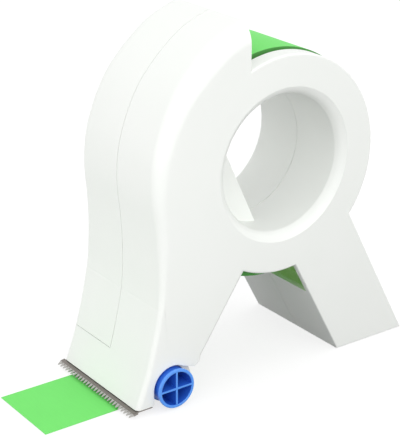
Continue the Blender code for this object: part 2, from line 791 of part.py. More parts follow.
def tape_lead(parts, green):
    """Tape from the roll's front, down behind the roller, under it and out past the blade."""
    roll = Vector((hub_x, roll_height))
    roller = Vector((roller_x, roller_z))
    half = TAPE_THICKNESS / 2
    roll_turn = ROLL_RADIUS + PART_GAP + half
    roller_turn = ROLLER_RADIUS + PART_GAP + half
    between = roll - roller
    heading = math.atan2(between.y, between.x)
    normal = heading - math.acos((roll_turn + roller_turn) / between.length)
    end_x = hub_x - TAPE_END_REACH

    def side(offset):
        top = arc(roll, roll_turn + offset, normal + math.pi - TAPE_LIFT, normal + math.pi)
        bottom = arc(roller, roller_turn - offset, normal, -math.pi / 2)
        return top + bottom + [(end_x, roller_z - roller_turn + offset)]

    outline = side(half) + list(reversed(side(-half)))
    finish(plate("tape_lead", [outline], -TAPE_WIDTH / 2, TAPE_WIDTH / 2, parts), green)


def drag_springs(parts, steel):
    """Bowed steel leaves on the hub that brake the core from inside."""
    for name, angle in SPRING_ANGLES.items():
        drop = (HUB_HEIGHT - roll_height) * math.cos(angle + math.pi / 2)
        seat = hub_tube_radius + PART_GAP
        crown = CORE_BORE_RADIUS + drop - PART_GAP - SPRING_THICKNESS
        centre = (hub_x, HUB_HEIGHT)
        inner, outer = [], []
        for i in range(SPRING_STEPS + 1):
            along = -1 + 2 * i / SPRING_STEPS
            radius = seat + (crown - seat) * math.cos(along * math.pi / 2) ** 2
            inner.append(polar(radius, angle + along * SPRING_HALF_SWEEP, centre))
            outer.append(polar(radius + SPRING_THICKNESS, angle + along * SPRING_HALF_SWEEP, centre))
        low = -SPRING_INSET - SPRING_WIDTH
        finish(plate(name, [inner + outer[::-1]], low, -SPRING_INSET, parts), steel)


def build():
    clear_scene()
    parts = collection_named("masking_tape_applicator")
    guides = collection_named("cutters")
    white = material("white_abs", (0.9, 0.91, 0.89), 0.42)
    blue = material("blue_nylon", (0.06, 0.27, 0.82), 0.35)
    pale = material("acetal", (0.82, 0.82, 0.78), 0.4)
    steel = material("blade_steel", (0.42, 0.4, 0.38), 0.35, 1.0)
    zinc = material("zinc_plate", (0.6, 0.6, 0.58), 0.4, 1.0)
    board = material("core_board", (0.55, 0.42, 0.28), 0.85)
    green = material("green_crepe_tape", (0.2, 0.79, 0.17), 0.6)
    body = whole_body(guides)
    whole = baked(body, "whole_body", guides)
    from_left, from_right = parting_cutters(guides)
    left_shell(whole, from_left, guides, parts, white)
    right_shell(whole, from_right, guides, parts, white)
    press_roller(guides, parts, blue)
    roller_bearings(parts, pale)
    cutting_blade(guides, parts, steel)
    blade_screws(guides, parts, zinc)
    ring("tape_core", CORE_BORE_RADIUS, CORE_BORE_RADIUS + CORE_WALL, parts, board)
    ring("tape_roll", CORE_BORE_RADIUS + CORE_WALL + PART_GAP, ROLL_RADIUS, parts, green)
    tape_lead(parts, green)
    drag_springs(parts, steel)
    for guide in guides.objects:
        guide.hide_render = True
        guide.display_type = "WIRE"


build()
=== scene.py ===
# %% [markdown]
# # A masking tape applicator
#
# The tool is a hollow plastic body in two halves that carries a roll of tape on a hub round the
# finger hole. A roller under the nose presses the tape down, and a toothed blade in front of it
# cuts the tape off. The CAD model already says where every piece sits and how it moves. This
# script gives each piece its fine shape and its finish, and sets up the camera and the light for
# the picture. All lengths are in metres, X runs from the nose to the leg, Y across the tool, and Z up.

# %% The frame: the CAD model's pieces and bodies
import json
import math

import bmesh
import bpy
from mathutils import Matrix, Vector

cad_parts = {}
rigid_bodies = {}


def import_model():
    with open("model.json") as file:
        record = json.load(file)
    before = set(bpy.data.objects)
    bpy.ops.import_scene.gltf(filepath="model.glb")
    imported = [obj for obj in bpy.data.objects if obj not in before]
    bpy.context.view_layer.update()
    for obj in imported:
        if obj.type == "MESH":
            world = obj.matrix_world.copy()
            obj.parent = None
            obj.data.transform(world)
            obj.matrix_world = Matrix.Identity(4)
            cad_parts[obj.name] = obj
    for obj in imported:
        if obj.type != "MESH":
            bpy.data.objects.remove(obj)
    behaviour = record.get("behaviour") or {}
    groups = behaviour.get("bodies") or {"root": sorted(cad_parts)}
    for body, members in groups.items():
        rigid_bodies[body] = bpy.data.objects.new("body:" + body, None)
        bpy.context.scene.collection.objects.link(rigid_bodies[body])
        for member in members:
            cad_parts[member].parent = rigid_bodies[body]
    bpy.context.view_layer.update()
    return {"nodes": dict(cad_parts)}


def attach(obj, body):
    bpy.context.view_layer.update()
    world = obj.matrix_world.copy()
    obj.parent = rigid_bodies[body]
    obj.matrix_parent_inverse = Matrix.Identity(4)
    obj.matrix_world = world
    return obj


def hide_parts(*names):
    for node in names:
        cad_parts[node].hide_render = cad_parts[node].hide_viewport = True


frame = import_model()
nodes = frame["nodes"]

# %% [markdown]
# ## Where the camera stands
#
# The photograph was taken from the tool's front left and a little above, with a long lens that
# lets lines draw together only slightly. Moved by eye, a camera leaves every edge a little off. So
# its place, its angles and its lens were worked out from the outlines in the photograph.

# %% Camera
CAMERA_PLACE = (-0.3465, -0.4747, 0.3060)
CAMERA_AZIMUTH = math.radians(-35.93)
CAMERA_HEIGHT_ANGLE = math.radians(22.06)
CAMERA_ROLL = math.radians(0.24)
LENS, FILM_WIDTH = 118.6, 36.0  # millimetres
NEAR, FAR_AWAY = 0.01, 20.0

camera = bpy.data.objects.new("camera", bpy.data.cameras.new("camera"))
bpy.context.scene.collection.objects.link(camera)
camera.location = CAMERA_PLACE
turn = Matrix.Rotation(CAMERA_AZIMUTH, 4, "Z")
tilt = Matrix.Rotation(math.pi / 2 - CAMERA_HEIGHT_ANGLE, 4, "X")
camera.rotation_euler = (turn @ tilt @ Matrix.Rotation(CAMERA_ROLL, 4, "Z")).to_euler()
camera.data.lens, camera.data.sensor_width = LENS, FILM_WIDTH
camera.data.clip_start, camera.data.clip_end = NEAR, FAR_AWAY
bpy.context.scene.camera = camera
bpy.context.scene.view_settings.view_transform = "Standard"
print("camera:", round(camera.location.length, 3), "m away, with a lens of", LENS, "mm")

# %% [markdown]
# ## Shader maths that reads like maths
#
# A material is a network of nodes. Linked by hand, a short formula takes a dozen lines. Here a
# small class wraps one output socket, so that `mask * 0.5 + 0.2` adds the Math nodes by itself.
# Every other node comes from one method that sets its settings first and its inputs second.

# %% Socket arithmetic and a node maker
class Signal:
    """A shader value that Python's operators can work on."""

    def __init__(self, shader, socket):
        self.shader, self.socket = shader, socket

    def _maths(self, operation, first, second):
        return self.shader.node("Math", {"operation": operation}, {0: first, 1: second})

    def __add__(self, other):
        return self._maths("ADD", self, other)

    def __sub__(self, other):
        return self._maths("SUBTRACT", self, other)

    def __rsub__(self, other):
        return self._maths("SUBTRACT", other, self)

    def __mul__(self, other):
        return self._maths("MULTIPLY", self, other)

    def __truediv__(self, other):
        return self._maths("DIVIDE", self, other)

    def __rtruediv__(self, other):
        return self._maths("DIVIDE", other, self)

    __radd__ = __add__
    __rmul__ = __mul__


class Network:
    """A tree of nodes, and the one method that adds a node to it."""

    def __init__(self, owner):
        owner.use_nodes = True
        self.tree = owner.node_tree

    def feed(self, socket, value):
        if isinstance(value, Signal):
            self.tree.links.new(value.socket, socket)
        else:
            socket.default_value = value

    def node(self, kind, settings=None, inputs=None, output=0):
        made = self.tree.nodes.new("ShaderNode" + kind)
        for name, value in (settings or {}).items():
            setattr(made, name, value)
        for name, value in (inputs or {}).items():
            self.feed(made.inputs[name], value)
        return Signal(self, made.outputs[output])


class Shader(Network):
    """One material and the nodes in it."""

    def __init__(self, name):
        self.material = bpy.data.materials.new(name)
        super().__init__(self.material)
        self.principled = self.tree.nodes["Principled BSDF"]
        self.output = self.tree.nodes["Material Output"]

    def place(self):
        """The surface point in the object's own metres, the same at every pose."""
        return self.node("TexCoord", output="Object")

    def noise(self, scale, detail=2.0, stretch=(1.0, 1.0, 1.0)):
        """Soft noise from 0 to 1. The scale is in bumps to the metre."""
        spread = self.node("Mapping", {}, {"Vector": self.place(), "Scale": stretch})
        return self.node("TexNoise", {}, {"Vector": spread, "Scale": scale, "Detail": detail})

    def blend(self, factor, first, second):
        """The first colour where the factor is 0, the second where it is 1."""
        return self.node("MixRGB", {}, {"Fac": factor, "Color1": (*first, 1.0), "Color2": (*second, 1.0)})

    def bump(self, height, depth, strength):
        """A normal that makes the height look like a relief of that depth."""
        return self.node("Bump", {}, {"Height": height, "Distance": depth, "Strength": strength})

    def surface(self, **values):
        """Feeds the Principled inputs, named with _ for a space, and returns the material."""
        for name, value in values.items():
            self.feed(self.principled.inputs[name.replace("_", " ")], value)
        print(self.material.name, "nodes:", len(self.tree.nodes))
        return self.material


print("shader values understand + - * /")

# %% [markdown]
# ## The floor and the background
#
# The object stands on a white surface with no edge in sight. A lamp strong enough to burn the
# floor out would burn out the white body too. So the floor glows a little where it is seen
# directly, and comes out white while it still holds the soft shadow. It throws less light back on
# the object, because in the photograph the leg's underside is grey. Only ahead of the nose does it
# throw back more, as the neck is bright there.

# %% Floor
FLOOR_SIZE, FLOOR_DROP = 6.0, 0.0002
FLOOR_GLOW = 0.74
FLOOR_SEEN = (0.32, 0.32, 0.32, 1.0)
FLOOR_BOUNCE = (0.14, 0.14, 0.14)
FLOOR_AHEAD = (0.62, 0.62, 0.62)
FLOOR_DARK_X, FLOOR_LIGHT_X = -0.03, -0.1


def seen_directly(network):
    """1 for rays that show the floor or the background, 0 for those that only light things."""
    names = ("Is Camera Ray", "Is Glossy Ray", "Is Transmission Ray")
    rays = [network.node("LightPath", output=name) for name in names]
    return network.node("Math", {"operation": "MINIMUM"}, {0: rays[0] + rays[1] + rays[2], 1: 1.0})


def floor_white():
    shader = Shader("floor_white")
    seen = shader.node("AddShader", {}, {
        0: shader.node("BsdfDiffuse", {}, {"Color": FLOOR_SEEN}),
        1: shader.node("Emission", {}, {"Strength": FLOOR_GLOW}),
    })
    x = shader.node("SeparateXYZ", {}, {"Vector": shader.place()}, "X")
    ahead = (FLOOR_DARK_X - x) / (FLOOR_DARK_X - FLOOR_LIGHT_X)
    bounce = shader.node("BsdfDiffuse", {}, {"Color": shader.blend(ahead, FLOOR_BOUNCE, FLOOR_AHEAD)})
    surface = shader.node("MixShader", {}, {0: seen_directly(shader), 1: bounce, 2: seen})
    shader.feed(shader.output.inputs["Surface"], surface)
    return shader.material


edge = FLOOR_SIZE / 2
sheet = bpy.data.meshes.new("floor")
corners = [(-edge, -edge, 0), (edge, -edge, 0), (edge, edge, 0), (-edge, edge, 0)]
sheet.from_pydata(corners, [], [(0, 1, 2, 3)])
sheet.materials.append(floor_white())
floor = bpy.data.objects.new("floor", sheet)
floor.location.z = -FLOOR_DROP
bpy.context.scene.collection.objects.link(floor)
print("floor:", FLOOR_SIZE, "m square")

# %% [markdown]
# ## The light
#
# In the photograph, light comes softly from all round, as in a white tent, and a little more of it
# from the nose's side. A world of even light stands for the tent, and four large lamps for its
# brighter walls. Small lamps would give hard shadows, which the photograph doesn't have.

# %% World and lamps
WHITE_LIGHT, WORLD_LIGHT = (1.0, 1.0, 1.0, 1.0), 0.93
LAMP_TARGET = (0.0, 0.0, 0.08)
LAMPS = {  # the place, the width in metres and the power in watts
    "front": ((-1.35, 0.2, 0.12), 0.9, 2.6),
    "side": ((0.2, -1.35, 0.45), 0.9, 5.9),
    "corner": ((-0.95, -0.95, 0.7), 1.2, 3.0),
    "top": ((0.3, -0.1, 1.4), 0.9, 1.2),
}


def make_world():
    world = bpy.data.worlds.new("studio")
    bpy.context.scene.world = world
    network = Network(world)
    glow = network.node("Background", {}, {"Color": WHITE_LIGHT, "Strength": WORLD_LIGHT})
    white = network.node("Background", {}, {"Color": WHITE_LIGHT, "Strength": 1.0})
    surface = network.node("MixShader", {}, {0: seen_directly(network), 1: glow, 2: white})
    network.feed(network.tree.nodes["World Output"].inputs["Surface"], surface)


def make_lamp(name, place, width, power):
    lamp = bpy.data.objects.new(name, bpy.data.lights.new(name, "AREA"))
    bpy.context.scene.collection.objects.link(lamp)
    lamp.data.size, lamp.data.energy = width, power
    lamp.location = place
    lamp.rotation_euler = (Vector(LAMP_TARGET) - Vector(place)).to_track_quat("-Z", "Y").to_euler()


make_world()
for name, (place, width, power) in LAMPS.items():
    make_lamp(name, place, width, power)
print("lamps:", ", ".join(LAMPS), "with", sum(power for _, _, power in LAMPS.values()), "watts in all")

# %% [markdown]
# ## Sizes
#
# These are the CAD model's own measures in metres: the hub, the rim, the hood that shades the
# front of the roll, the nose that holds the roller, and the leg. The scene's pieces repeat them,
# so that they sit exactly where the CAD solids are. Typed again into every piece, a number would
# sooner or later differ. So each has one name here, and the pieces are worked out from the names.

# %% Measures
TAPE_WIDTH = 0.038
TAPE_THICKNESS = 0.0003
CORE_BORE_RADIUS = 0.0381
CORE_WALL = 0.003
ROLL_RADIUS = 0.0515
ROLL_CLEARANCE = 0.0015
PART_GAP = 0.0003
BODY_WIDTH = 0.0594
WALL = 0.0024
HUB = (0.0209, 0.097)
HUB_RIB_RADIUS = 0.0356
HUB_TUBE_RADIUS = 0.033
BORE_RADIUS = 0.0305
LIP_RADIUS = 0.0041
RIM_RADIUS = 0.0488
HOOD_REACH = 0.0662
HOOD_RISE = 0.0648
HOOD_BACK = 0.0195
LEG_REACH = 0.0736
FOOT_LENGTH = 0.0398
LEG_LEAN = math.radians(61.6)
NOSE_CLEARANCE = 0.003
NOSE_BACK_LEAN = math.radians(56.3)
ROLLER = (-0.0379, 0.0096)
ROLLER_RADIUS = 0.009
ROLLER_CLEARANCE = 0.0005
NOSE_BAR_LENGTH = 0.0088
HEEL_LOW, HEEL_HIGH = (0.0116, 0.0058), (0.0143, 0.0078)  # behind and above the roller's middle
HALF = BODY_WIDTH / 2
INNER_HALF = HALF - WALL
TOP = HUB[1] + HOOD_RISE
BACK_X = HUB[0] - HOOD_BACK
LEG_TOP = HUB[1] - RIM_RADIUS / 2
ROLL_CENTRE = (HUB[0], 0.0948)
SLOT_RADIUS = ROLLER_RADIUS + ROLLER_CLEARANCE
SLOT_FRONT_X = ROLLER[0] - SLOT_RADIUS
NOSE_TIP_X = SLOT_FRONT_X - NOSE_BAR_LENGTH
print("body:", round(TOP * 1000, 1), "mm high and", BODY_WIDTH * 1000, "mm wide")

# %% [markdown]
# ## White plastic
#
# The body is moulded from white plastic, nearly even in colour, with a satin face. A photograph
# of plastic wrapped round it would show its edges close up. So the pattern is worked out from
# noise in the object's own metres, which needs no unwrapping and keeps its size in every view. A
# broad cloud varies the colour and the gloss a little, and a fine grain roughens the face.

# %% White body plastic
BODY_WHITES = (0.86, 0.885, 0.85), (0.89, 0.905, 0.88)
BODY_CLOUDS, BODY_GRAIN, GRAIN_DEPTH = 35.0, 2600.0, 0.00002


def moulded(name, colours, clouds, roughness, spread=0.1, detail=2.0, grain=None, glows=None, **constants):
    """A moulded plastic, with clouds in its colours and its gloss, and a painted glow if glows are given."""
    shader = Shader(name)
    cloud = shader.noise(clouds, detail)
    varying = {"Base_Color": shader.blend(cloud, *colours), "Roughness": cloud * spread + roughness}
    if grain:
        bumps, strength = grain
        varying["Normal"] = shader.bump(shader.noise(bumps, 1.0), GRAIN_DEPTH, strength)
    if glows:
        varying["Emission_Color"] = shader.blend(cloud, *glows)
    return shader.surface(**varying, **constants)


WHITE = moulded("white_abs", BODY_WHITES, BODY_CLOUDS, 0.36, 0.08, 3.0, grain=(BODY_GRAIN, 0.35), IOR=1.5)

# %% [markdown]
# ## Painted green light inside the leg
#
# The walls are thin, so daylight comes through them into the leg, and the green tape above tints it.
# Light that travels through a wall takes many samples to render, and an exported model loses
# it. So this light is painted: a green tint in the white and a glow of a few hundredths of green
# give the same look, and cost nothing.

# %% Inside of the leg, white with painted green light
INSIDE_GREEN_LIT_WHITES = (0.8, 0.87, 0.76), (0.84, 0.9, 0.8)
INSIDE_PAINTED_GLOWS = (0.02, 0.04, 0.011), (0.028, 0.054, 0.015)
INSIDE_CLOUDS = 90.0
LEG_INSIDE_PAINTED_LIGHT = moulded(
    "white_plastic_painted_green_light", INSIDE_GREEN_LIT_WHITES, INSIDE_CLOUDS, 0.45, glows=INSIDE_PAINTED_GLOWS, Emission_Strength=1.0
)

# %% [markdown]
# ## Blue and pale plastics
#
# The roller is moulded from blue nylon, smoother than the body. Its ends are deep cups, and little
# light gets to the bottom. So the walls in there, and the neck behind the flange, get a deeper blue
# as painted shade. The bearings are off-white acetal, a slippery plastic. All of them come from
# the same kind of mould as the body, so the same function makes them.

# %% Blue roller nylon, painted shade for the roller's pockets and neck, and pale bearing plastic
ROLLER_BLUES, ROLLER_CLOUDS, ROLLER_GRAIN = ((0.075, 0.29, 0.86), (0.095, 0.33, 0.92)), 120.0, 3000.0
POCKET_SHADE_COLOURS, POCKET_CLOUDS = ((0.02, 0.13, 0.66), (0.028, 0.16, 0.76)), 150.0
BEARING_WHITES, BEARING_CLOUDS = ((0.78, 0.78, 0.73), (0.84, 0.84, 0.8)), 200.0
NYLON_IOR = 1.53
BLUE = moulded("blue_nylon", ROLLER_BLUES, ROLLER_CLOUDS, 0.3, grain=(ROLLER_GRAIN, 0.3), IOR=NYLON_IOR)
POCKET_PAINTED_SHADE = moulded("pocket_painted_shade_blue", POCKET_SHADE_COLOURS, POCKET_CLOUDS, 0.4, IOR=NYLON_IOR)
ACETAL = moulded("acetal", BEARING_WHITES, BEARING_CLOUDS, 0.35)

# %% [markdown]
# ## Steels
#
# The blade is ground steel, the screws are zinc plated and the springs are rolled strip. Ground
# and rolled faces have fine lines in one direction. The shader's anisotropic gloss could show
# them, but other programs often leave it out. So one function stretches a noise along the lines,
# and the noise varies the colour, the gloss and a very shallow relief.

# %% Ground blade and teeth, plated screws, rolled springs
STREAKS, STREAK_DEPTH = 900.0, 0.00002


def steel(name, dark, light, roughness, stretch):
    shader = Shader(name)
    streaks = shader.noise(STREAKS, detail=3.0, stretch=stretch)
    return shader.surface(
        Base_Color=shader.blend(streaks, dark, light),
        Metallic=1.0,
        Roughness=streaks * 0.15 + roughness,
        Normal=shader.bump(streaks, STREAK_DEPTH, 0.4),
    )


BLADE_STEEL = steel("blade_steel", (0.2, 0.18, 0.165), (0.3, 0.275, 0.255), 0.3, (1.0, 0.05, 1.0))
TOOTH_STEEL = steel("ground_teeth", (0.42, 0.41, 0.39), (0.56, 0.55, 0.53), 0.34, (0.2, 1.0, 1.0))
ZINC = steel("zinc_plate", (0.5, 0.5, 0.48), (0.66, 0.66, 0.64), 0.32, (1.0, 1.0, 1.0))
SPRING_STEEL = steel("spring_steel", (0.42, 0.42, 0.42), (0.56, 0.56, 0.56), 0.28, (0.08, 1.0, 0.08))

# %% [markdown]
# ## Cardboard and tape
#
# The core is wound board, and the tape is thin green crepe paper. From the side the roll shows
# its layers edge on, as rings. They could be modelled, but the real ones are a tenth of a
# millimetre thick. So a noise that changes only with the distance from the roll's middle draws
# them, and the crepe is a noise drawn out across the tape.

# %% Cardboard of the core
BOARD_BROWNS = (0.42, 0.3, 0.18), (0.6, 0.46, 0.31)
FIBRES, FIBRE_DEPTH = 700.0, 0.0001


def core_board():
    shader = Shader("core_board")
    fibres = shader.noise(FIBRES, detail=4.0, stretch=(1.0, 0.2, 1.0))
    return shader.surface(
        Base_Color=shader.blend(fibres, *BOARD_BROWNS),
        Roughness=0.85,
        Normal=shader.bump(fibres, FIBRE_DEPTH, 0.5),
    )


BOARD = core_board()

# %% Green crepe tape
TAPE_GREENS = (0.14, 0.7, 0.118), (0.18, 0.8, 0.158)
CREPE, CREPE_DEPTH, TAPE_CLOUDS = 1500.0, 0.00008, 60.0


def green_tape():
    shader = Shader("green_crepe_tape")
    crepe = shader.noise(CREPE, detail=3.0, stretch=(1.0, 0.12, 1.0))
    cloud = shader.noise(TAPE_CLOUDS)
    return shader.surface(
        Base_Color=shader.blend(crepe * 0.6 + cloud * 0.4, *TAPE_GREENS),
        Roughness=crepe * 0.2 + 0.5,
        Normal=shader.bump(crepe, CREPE_DEPTH, 0.5),
    )


GREEN = green_tape()

# %% The roll's wound sides: many thin layers edge on, in a darker green that is partly painted shade
# The sides are a darker green than the tape's face: partly the layers' own edges, partly painted shade of the
# narrow gap between the roll and the walls.
SIDE_GREENS_AND_SHADE = (0.05, 0.24, 0.04), (0.11, 0.42, 0.09)
LAYERS, LAYER_DEPTH = 4000.0, 0.00006


def wound_side_and_shade():
    shader = Shader("wound_tape_side_and_painted_shade")
    to_middle = (-ROLL_CENTRE[0], 0.0, -ROLL_CENTRE[1])
    spoke = {"Vector": shader.place(), "Scale": (1.0, 0.0, 1.0), "Location": to_middle}
    radius = {"Vector": shader.node("Mapping", {}, spoke)}
    layer = {"W": shader.node("VectorMath", {"operation": "LENGTH"}, radius, "Value")}
    layers = shader.node("TexNoise", {"noise_dimensions": "1D"}, {**layer, "Scale": LAYERS, "Detail": 2.0})
    return shader.surface(
        Base_Color=shader.blend(layers, *SIDE_GREENS_AND_SHADE),
        Roughness=0.75,
        Normal=shader.bump(layers, LAYER_DEPTH, 0.6),
    )


WOUND_SIDE_AND_SHADE = wound_side_and_shade()

# %% [markdown]
# ## Drawing in side view
#
# Nearly every piece of the tool is a side view given some width. So the helpers work on lists
# of points in X and Z: an arc, a smooth curve through points, and a plate whose long edges are
# rounded by a radius that may change from point to point. The Bevel modifier gives one radius to
# a whole edge, but here the edge of the hood fades from 8 mm at the top to 2 mm at the nose.

# %% Points, arcs and curves
ARC_STEP = math.radians(2.5)


def polar(radius, angle, centre=(0.0, 0.0)):
    return centre[0] + radius * math.cos(angle), centre[1] + radius * math.sin(angle)


def arc(centre, radius, start, end, step=ARC_STEP):
    steps = max(2, math.ceil(abs(end - start) / step))
    return [polar(radius, start + (end - start) * i / steps, centre) for i in range(steps + 1)]


def smooth_path(points, steps):
    """A Catmull-Rom curve through the points."""
    path = []
    padded = [points[0], *points, points[-1]]
    for a, b, c, d in zip(padded, padded[1:], padded[2:], padded[3:]):
        for i in range(steps):
            t = i / steps
            weights = (-t + 2 * t**2 - t**3, 2 - 5 * t**2 + 3 * t**3, t + 4 * t**2 - 3 * t**3, t**3 - t**2)
            path.append(tuple(sum(w * p[k] for w, p in zip(weights, (a, b, c, d))) / 2 for k in (0, 1)))
    return path + [points[-1]]


def inward(outline, i):
    """The way into an anticlockwise outline at a point, long enough to keep the edges parallel."""
    here = Vector(outline[i])
    before = (here - Vector(outline[i - 1])).normalized()
    after = (Vector(outline[(i + 1) % len(outline)]) - here).normalized()
    first, second = Vector((-before.y, before.x)), Vector((-after.y, after.x))
    middle = (first + second).normalized()
    return middle / max(middle.dot(first), 0.5)


print("a quarter circle has", len(arc((0.0, 0.0), 1.0, 0.0, math.pi / 2)), "points")

# %% Plates with rounded edges
EDGE_STEPS, WELD = 8, 0.000001


def new_object(name, mesh):
    piece = bpy.data.objects.new(name, mesh)
    bpy.context.scene.collection.objects.link(piece)
    return piece


def rounded_plate(name, outline, radii, half, middle=0.0):
    """A side view given width: from middle - half to middle + half along Y, its edges rounded."""
    count = len(outline)
    ways = [inward(outline, i) for i in range(count)]
    rings = []
    for side in (-1.0, 1.0):
        part = []
        for k in range(EDGE_STEPS + 1):
            turn = math.pi / 2 * k / EDGE_STEPS
            ring = []
            for (x, z), way, radius in zip(outline, ways, radii):
                inset = way * radius * (1 - math.cos(turn))
                y = middle + side * (half - radius * (1 - math.sin(turn)))
                ring.append((x + inset.x, y, z + inset.y))
            part.append(ring)
        rings += part[::-1] if side < 0 else part
    vertices = [point for ring in rings for point in ring]
    faces = [tuple(range(count)), tuple(range(len(vertices) - 1, len(vertices) - count - 1, -1))]
    for k in range(len(rings) - 1):
        for i in range(count):
            j = (i + 1) % count
            faces.append((k * count + j, k * count + i, (k + 1) * count + i, (k + 1) * count + j))
    mesh = bpy.data.meshes.new(name)
    mesh.from_pydata(vertices, [], faces)
    return new_object(name, cleaned(mesh))


def cleaned(mesh):
    """The same mesh without doubled points, its faces turned outwards."""
    bm = bmesh.new()
    bm.from_mesh(mesh)
    bmesh.ops.remove_doubles(bm, verts=bm.verts, dist=WELD)
    bmesh.ops.dissolve_degenerate(bm, edges=bm.edges, dist=WELD)
    bmesh.ops.recalc_face_normals(bm, faces=bm.faces)
    bm.to_mesh(mesh)
    bm.free()
    return mesh


print("a rounded edge is made of", EDGE_STEPS, "strips")

# %% [markdown]
# ## Turned pieces, rods and boxes
#
# The roller, the roll and the holes are round, as if turned on a lathe: a profile of radius and
# height goes once round an axis. A Screw modifier does the same from a drawn line. Here the rings
# are written out, so that the profile's points can come from the measures.

# %% Turned pieces and boxes
ALONG_Y, UPRIGHT = -math.pi / 2, 0.0
FINE, MEDIUM, COARSE = 144, 96, 32


def turned(name, profile, steps, place, tilt=ALONG_Y):
    """A closed profile of radius and height, turned round an axis through the place."""
    mesh = bpy.data.meshes.new(name)
    vertices, faces = [], []
    for i in range(steps):
        angle = math.tau * i / steps
        vertices += [(*polar(radius, angle), height) for radius, height in profile]
    count = len(profile)
    for i in range(steps):
        for k in range(count):
            a, b = i * count + k, i * count + (k + 1) % count
            c, d = ((i + 1) % steps) * count + (k + 1) % count, ((i + 1) % steps) * count + k
            faces.append((a, b, c, d))
    mesh.from_pydata(vertices, [], faces)
    piece = new_object(name, cleaned(mesh))
    piece.data.transform(Matrix.Translation(place) @ Matrix.Rotation(tilt, 4, "X"))
    return piece


def rod(name, centre, radius, low, high, steps=COARSE):
    """A round bar across the tool, from low to high along Y."""
    profile = [(0.0, high), (radius, high), (radius, low), (0.0, low)]
    return turned(name, profile, steps, (centre[0], 0.0, centre[1]))


def box(name, low, high):
    mesh = bpy.data.meshes.new(name)
    bm = bmesh.new()
    bmesh.ops.create_cube(bm, size=1.0)
    bmesh.ops.scale(bm, vec=Vector(high) - Vector(low), verts=bm.verts)
    bmesh.ops.translate(bm, vec=(Vector(low) + Vector(high)) / 2, verts=bm.verts)
    bm.to_mesh(mesh)
    bm.free()
    return new_object(name, mesh)


print("round pieces have", FINE, MEDIUM, "or", COARSE, "sides")

# %% [markdown]
# ## Joining and cutting solids
#
# The body is made as a toolmaker would think of it: solid shapes joined together, then the
# hollow, the slots and the holes cut away. A Boolean modifier does each step. A stack of them
# would be worked out again at every change, so each result is written back into the mesh.

# %% Booleans that are applied at once
SHARP_ANGLE = math.radians(32)


def combine(piece, other, operation):
    boolean = piece.modifiers.new(other.name, "BOOLEAN")
    boolean.operation = operation
    boolean.solver = "MANIFOLD"
    boolean.object = other
    bpy.context.view_layer.update()
    worked_out = piece.evaluated_get(bpy.context.evaluated_depsgraph_get())
    result = bpy.data.meshes.new_from_object(worked_out)
    piece.modifiers.clear()
    piece.data = result
    bpy.data.objects.remove(other)
    return piece


def cut(piece, *others):
    for other in others:
        combine(piece, other, "DIFFERENCE")
    return piece


def join(piece, *others):
    for other in others:
        combine(piece, other, "UNION")
    return piece


def finish(piece, material, slot, body, *replaced):
    """Smooth shading that keeps flat faces flat, the material, and what the piece stands for."""
    piece.data.materials.clear()
    piece.data.materials.append(material)
    piece.data.shade_smooth()
    piece.data.set_sharp_from_angle(angle=SHARP_ANGLE)
    weighted = piece.modifiers.new("flat_faces", "WEIGHTED_NORMAL")
    weighted.keep_sharp = True
    weighted.weight = 100
    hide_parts(*replaced)
    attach(piece, body)
    print(piece.name, "faces:", len(piece.data.polygons))
    return piece


def refinish(piece, material, chosen):
    """A second finish, for the faces that are chosen."""
    piece.data.materials.append(material)
    picked = [face for face in piece.data.polygons if chosen(face)]
    for face in picked:
        face.material_index = 1
    print(piece.name, "faces in", material.name + ":", len(picked))


print("edges sharper than", round(math.degrees(SHARP_ANGLE)), "degrees stay crisp")

# %% [markdown]
# ## The body's outside
#
# Three plates make it: the front with hood and nose, the disc round the hub, and the leg. The
# hood's top edge is widely rounded and stops flat at the back, over the exposed roll. Such a body
# could be pulled out of one sculpted block, but then no edge would be true. As plates, each line
# of the side view is where the CAD model has it.

# %% Line down the front
HOOD_SHARES = ((0.553, 0.875), (0.819, 0.606), (0.964, 0.282), (1.0, 0.0))
NECK_SHARES = ((0.976, 0.81), (0.968, 0.655), (0.986, 0.463), (1.076, 0.201))
CURVE_STEPS, OVERRUN = 12, 0.012
CREASE_HEIGHT, CREASE_HALF, CREASE_DEPTH = 0.0462, 0.0005, 0.00011


def creased(path):
    """The path with the faint dent that the real body has across its neck."""
    i = next(i for i, point in enumerate(path) if point[1] < CREASE_HEIGHT)
    upper, lower = Vector(path[i - 1]), Vector(path[i])
    along = (lower - upper).normalized()
    here = upper.lerp(lower, (upper.y - CREASE_HEIGHT) / (upper.y - lower.y))
    dent = here + Vector((-along.y, along.x)) * CREASE_DEPTH
    start, end = here - along * CREASE_HALF, here + along * CREASE_HALF
    return path[:i] + [tuple(start), tuple(dent), tuple(end)] + path[i:]


def spine_points():
    """The body's front on its middle plane, from behind the hood's back down past the nose tip."""
    points = [(BACK_X, TOP)]
    points += [(HUB[0] - HOOD_REACH * reach, HUB[1] + HOOD_RISE * rise) for reach, rise in HOOD_SHARES]
    points += [(HUB[0] - HOOD_REACH * reach, HUB[1] * rise) for reach, rise in NECK_SHARES]
    path = smooth_path(points + [(NOSE_TIP_X, NOSE_CLEARANCE)], CURVE_STEPS)
    start, end = Vector(path[0]), Vector(path[-1])
    before = start + (start - Vector(path[1])).normalized() * OVERRUN
    beyond = end + (end - Vector(path[-2])).normalized() * OVERRUN
    return [tuple(before)] + creased(path) + [tuple(beyond)]


print("line down the front:", len(spine_points()), "points")

# %% Front, disc and leg
HOOD_ROUND, NOSE_ROUND, RIM_ROUND, LEG_ROUND, CRISP_ROUND = 0.0082, 0.0022, 0.001, 0.0006, 0.0003
ROUND_FROM, ROUND_UNTIL = HUB[1] * 0.45, TOP * 0.93
SLOT_END = math.radians(56)
INTO_DISC, CUT_OVER = 0.008, 0.002
NOSE_BACK_WAY = Vector((math.cos(NOSE_BACK_LEAN), math.sin(NOSE_BACK_LEAN)))


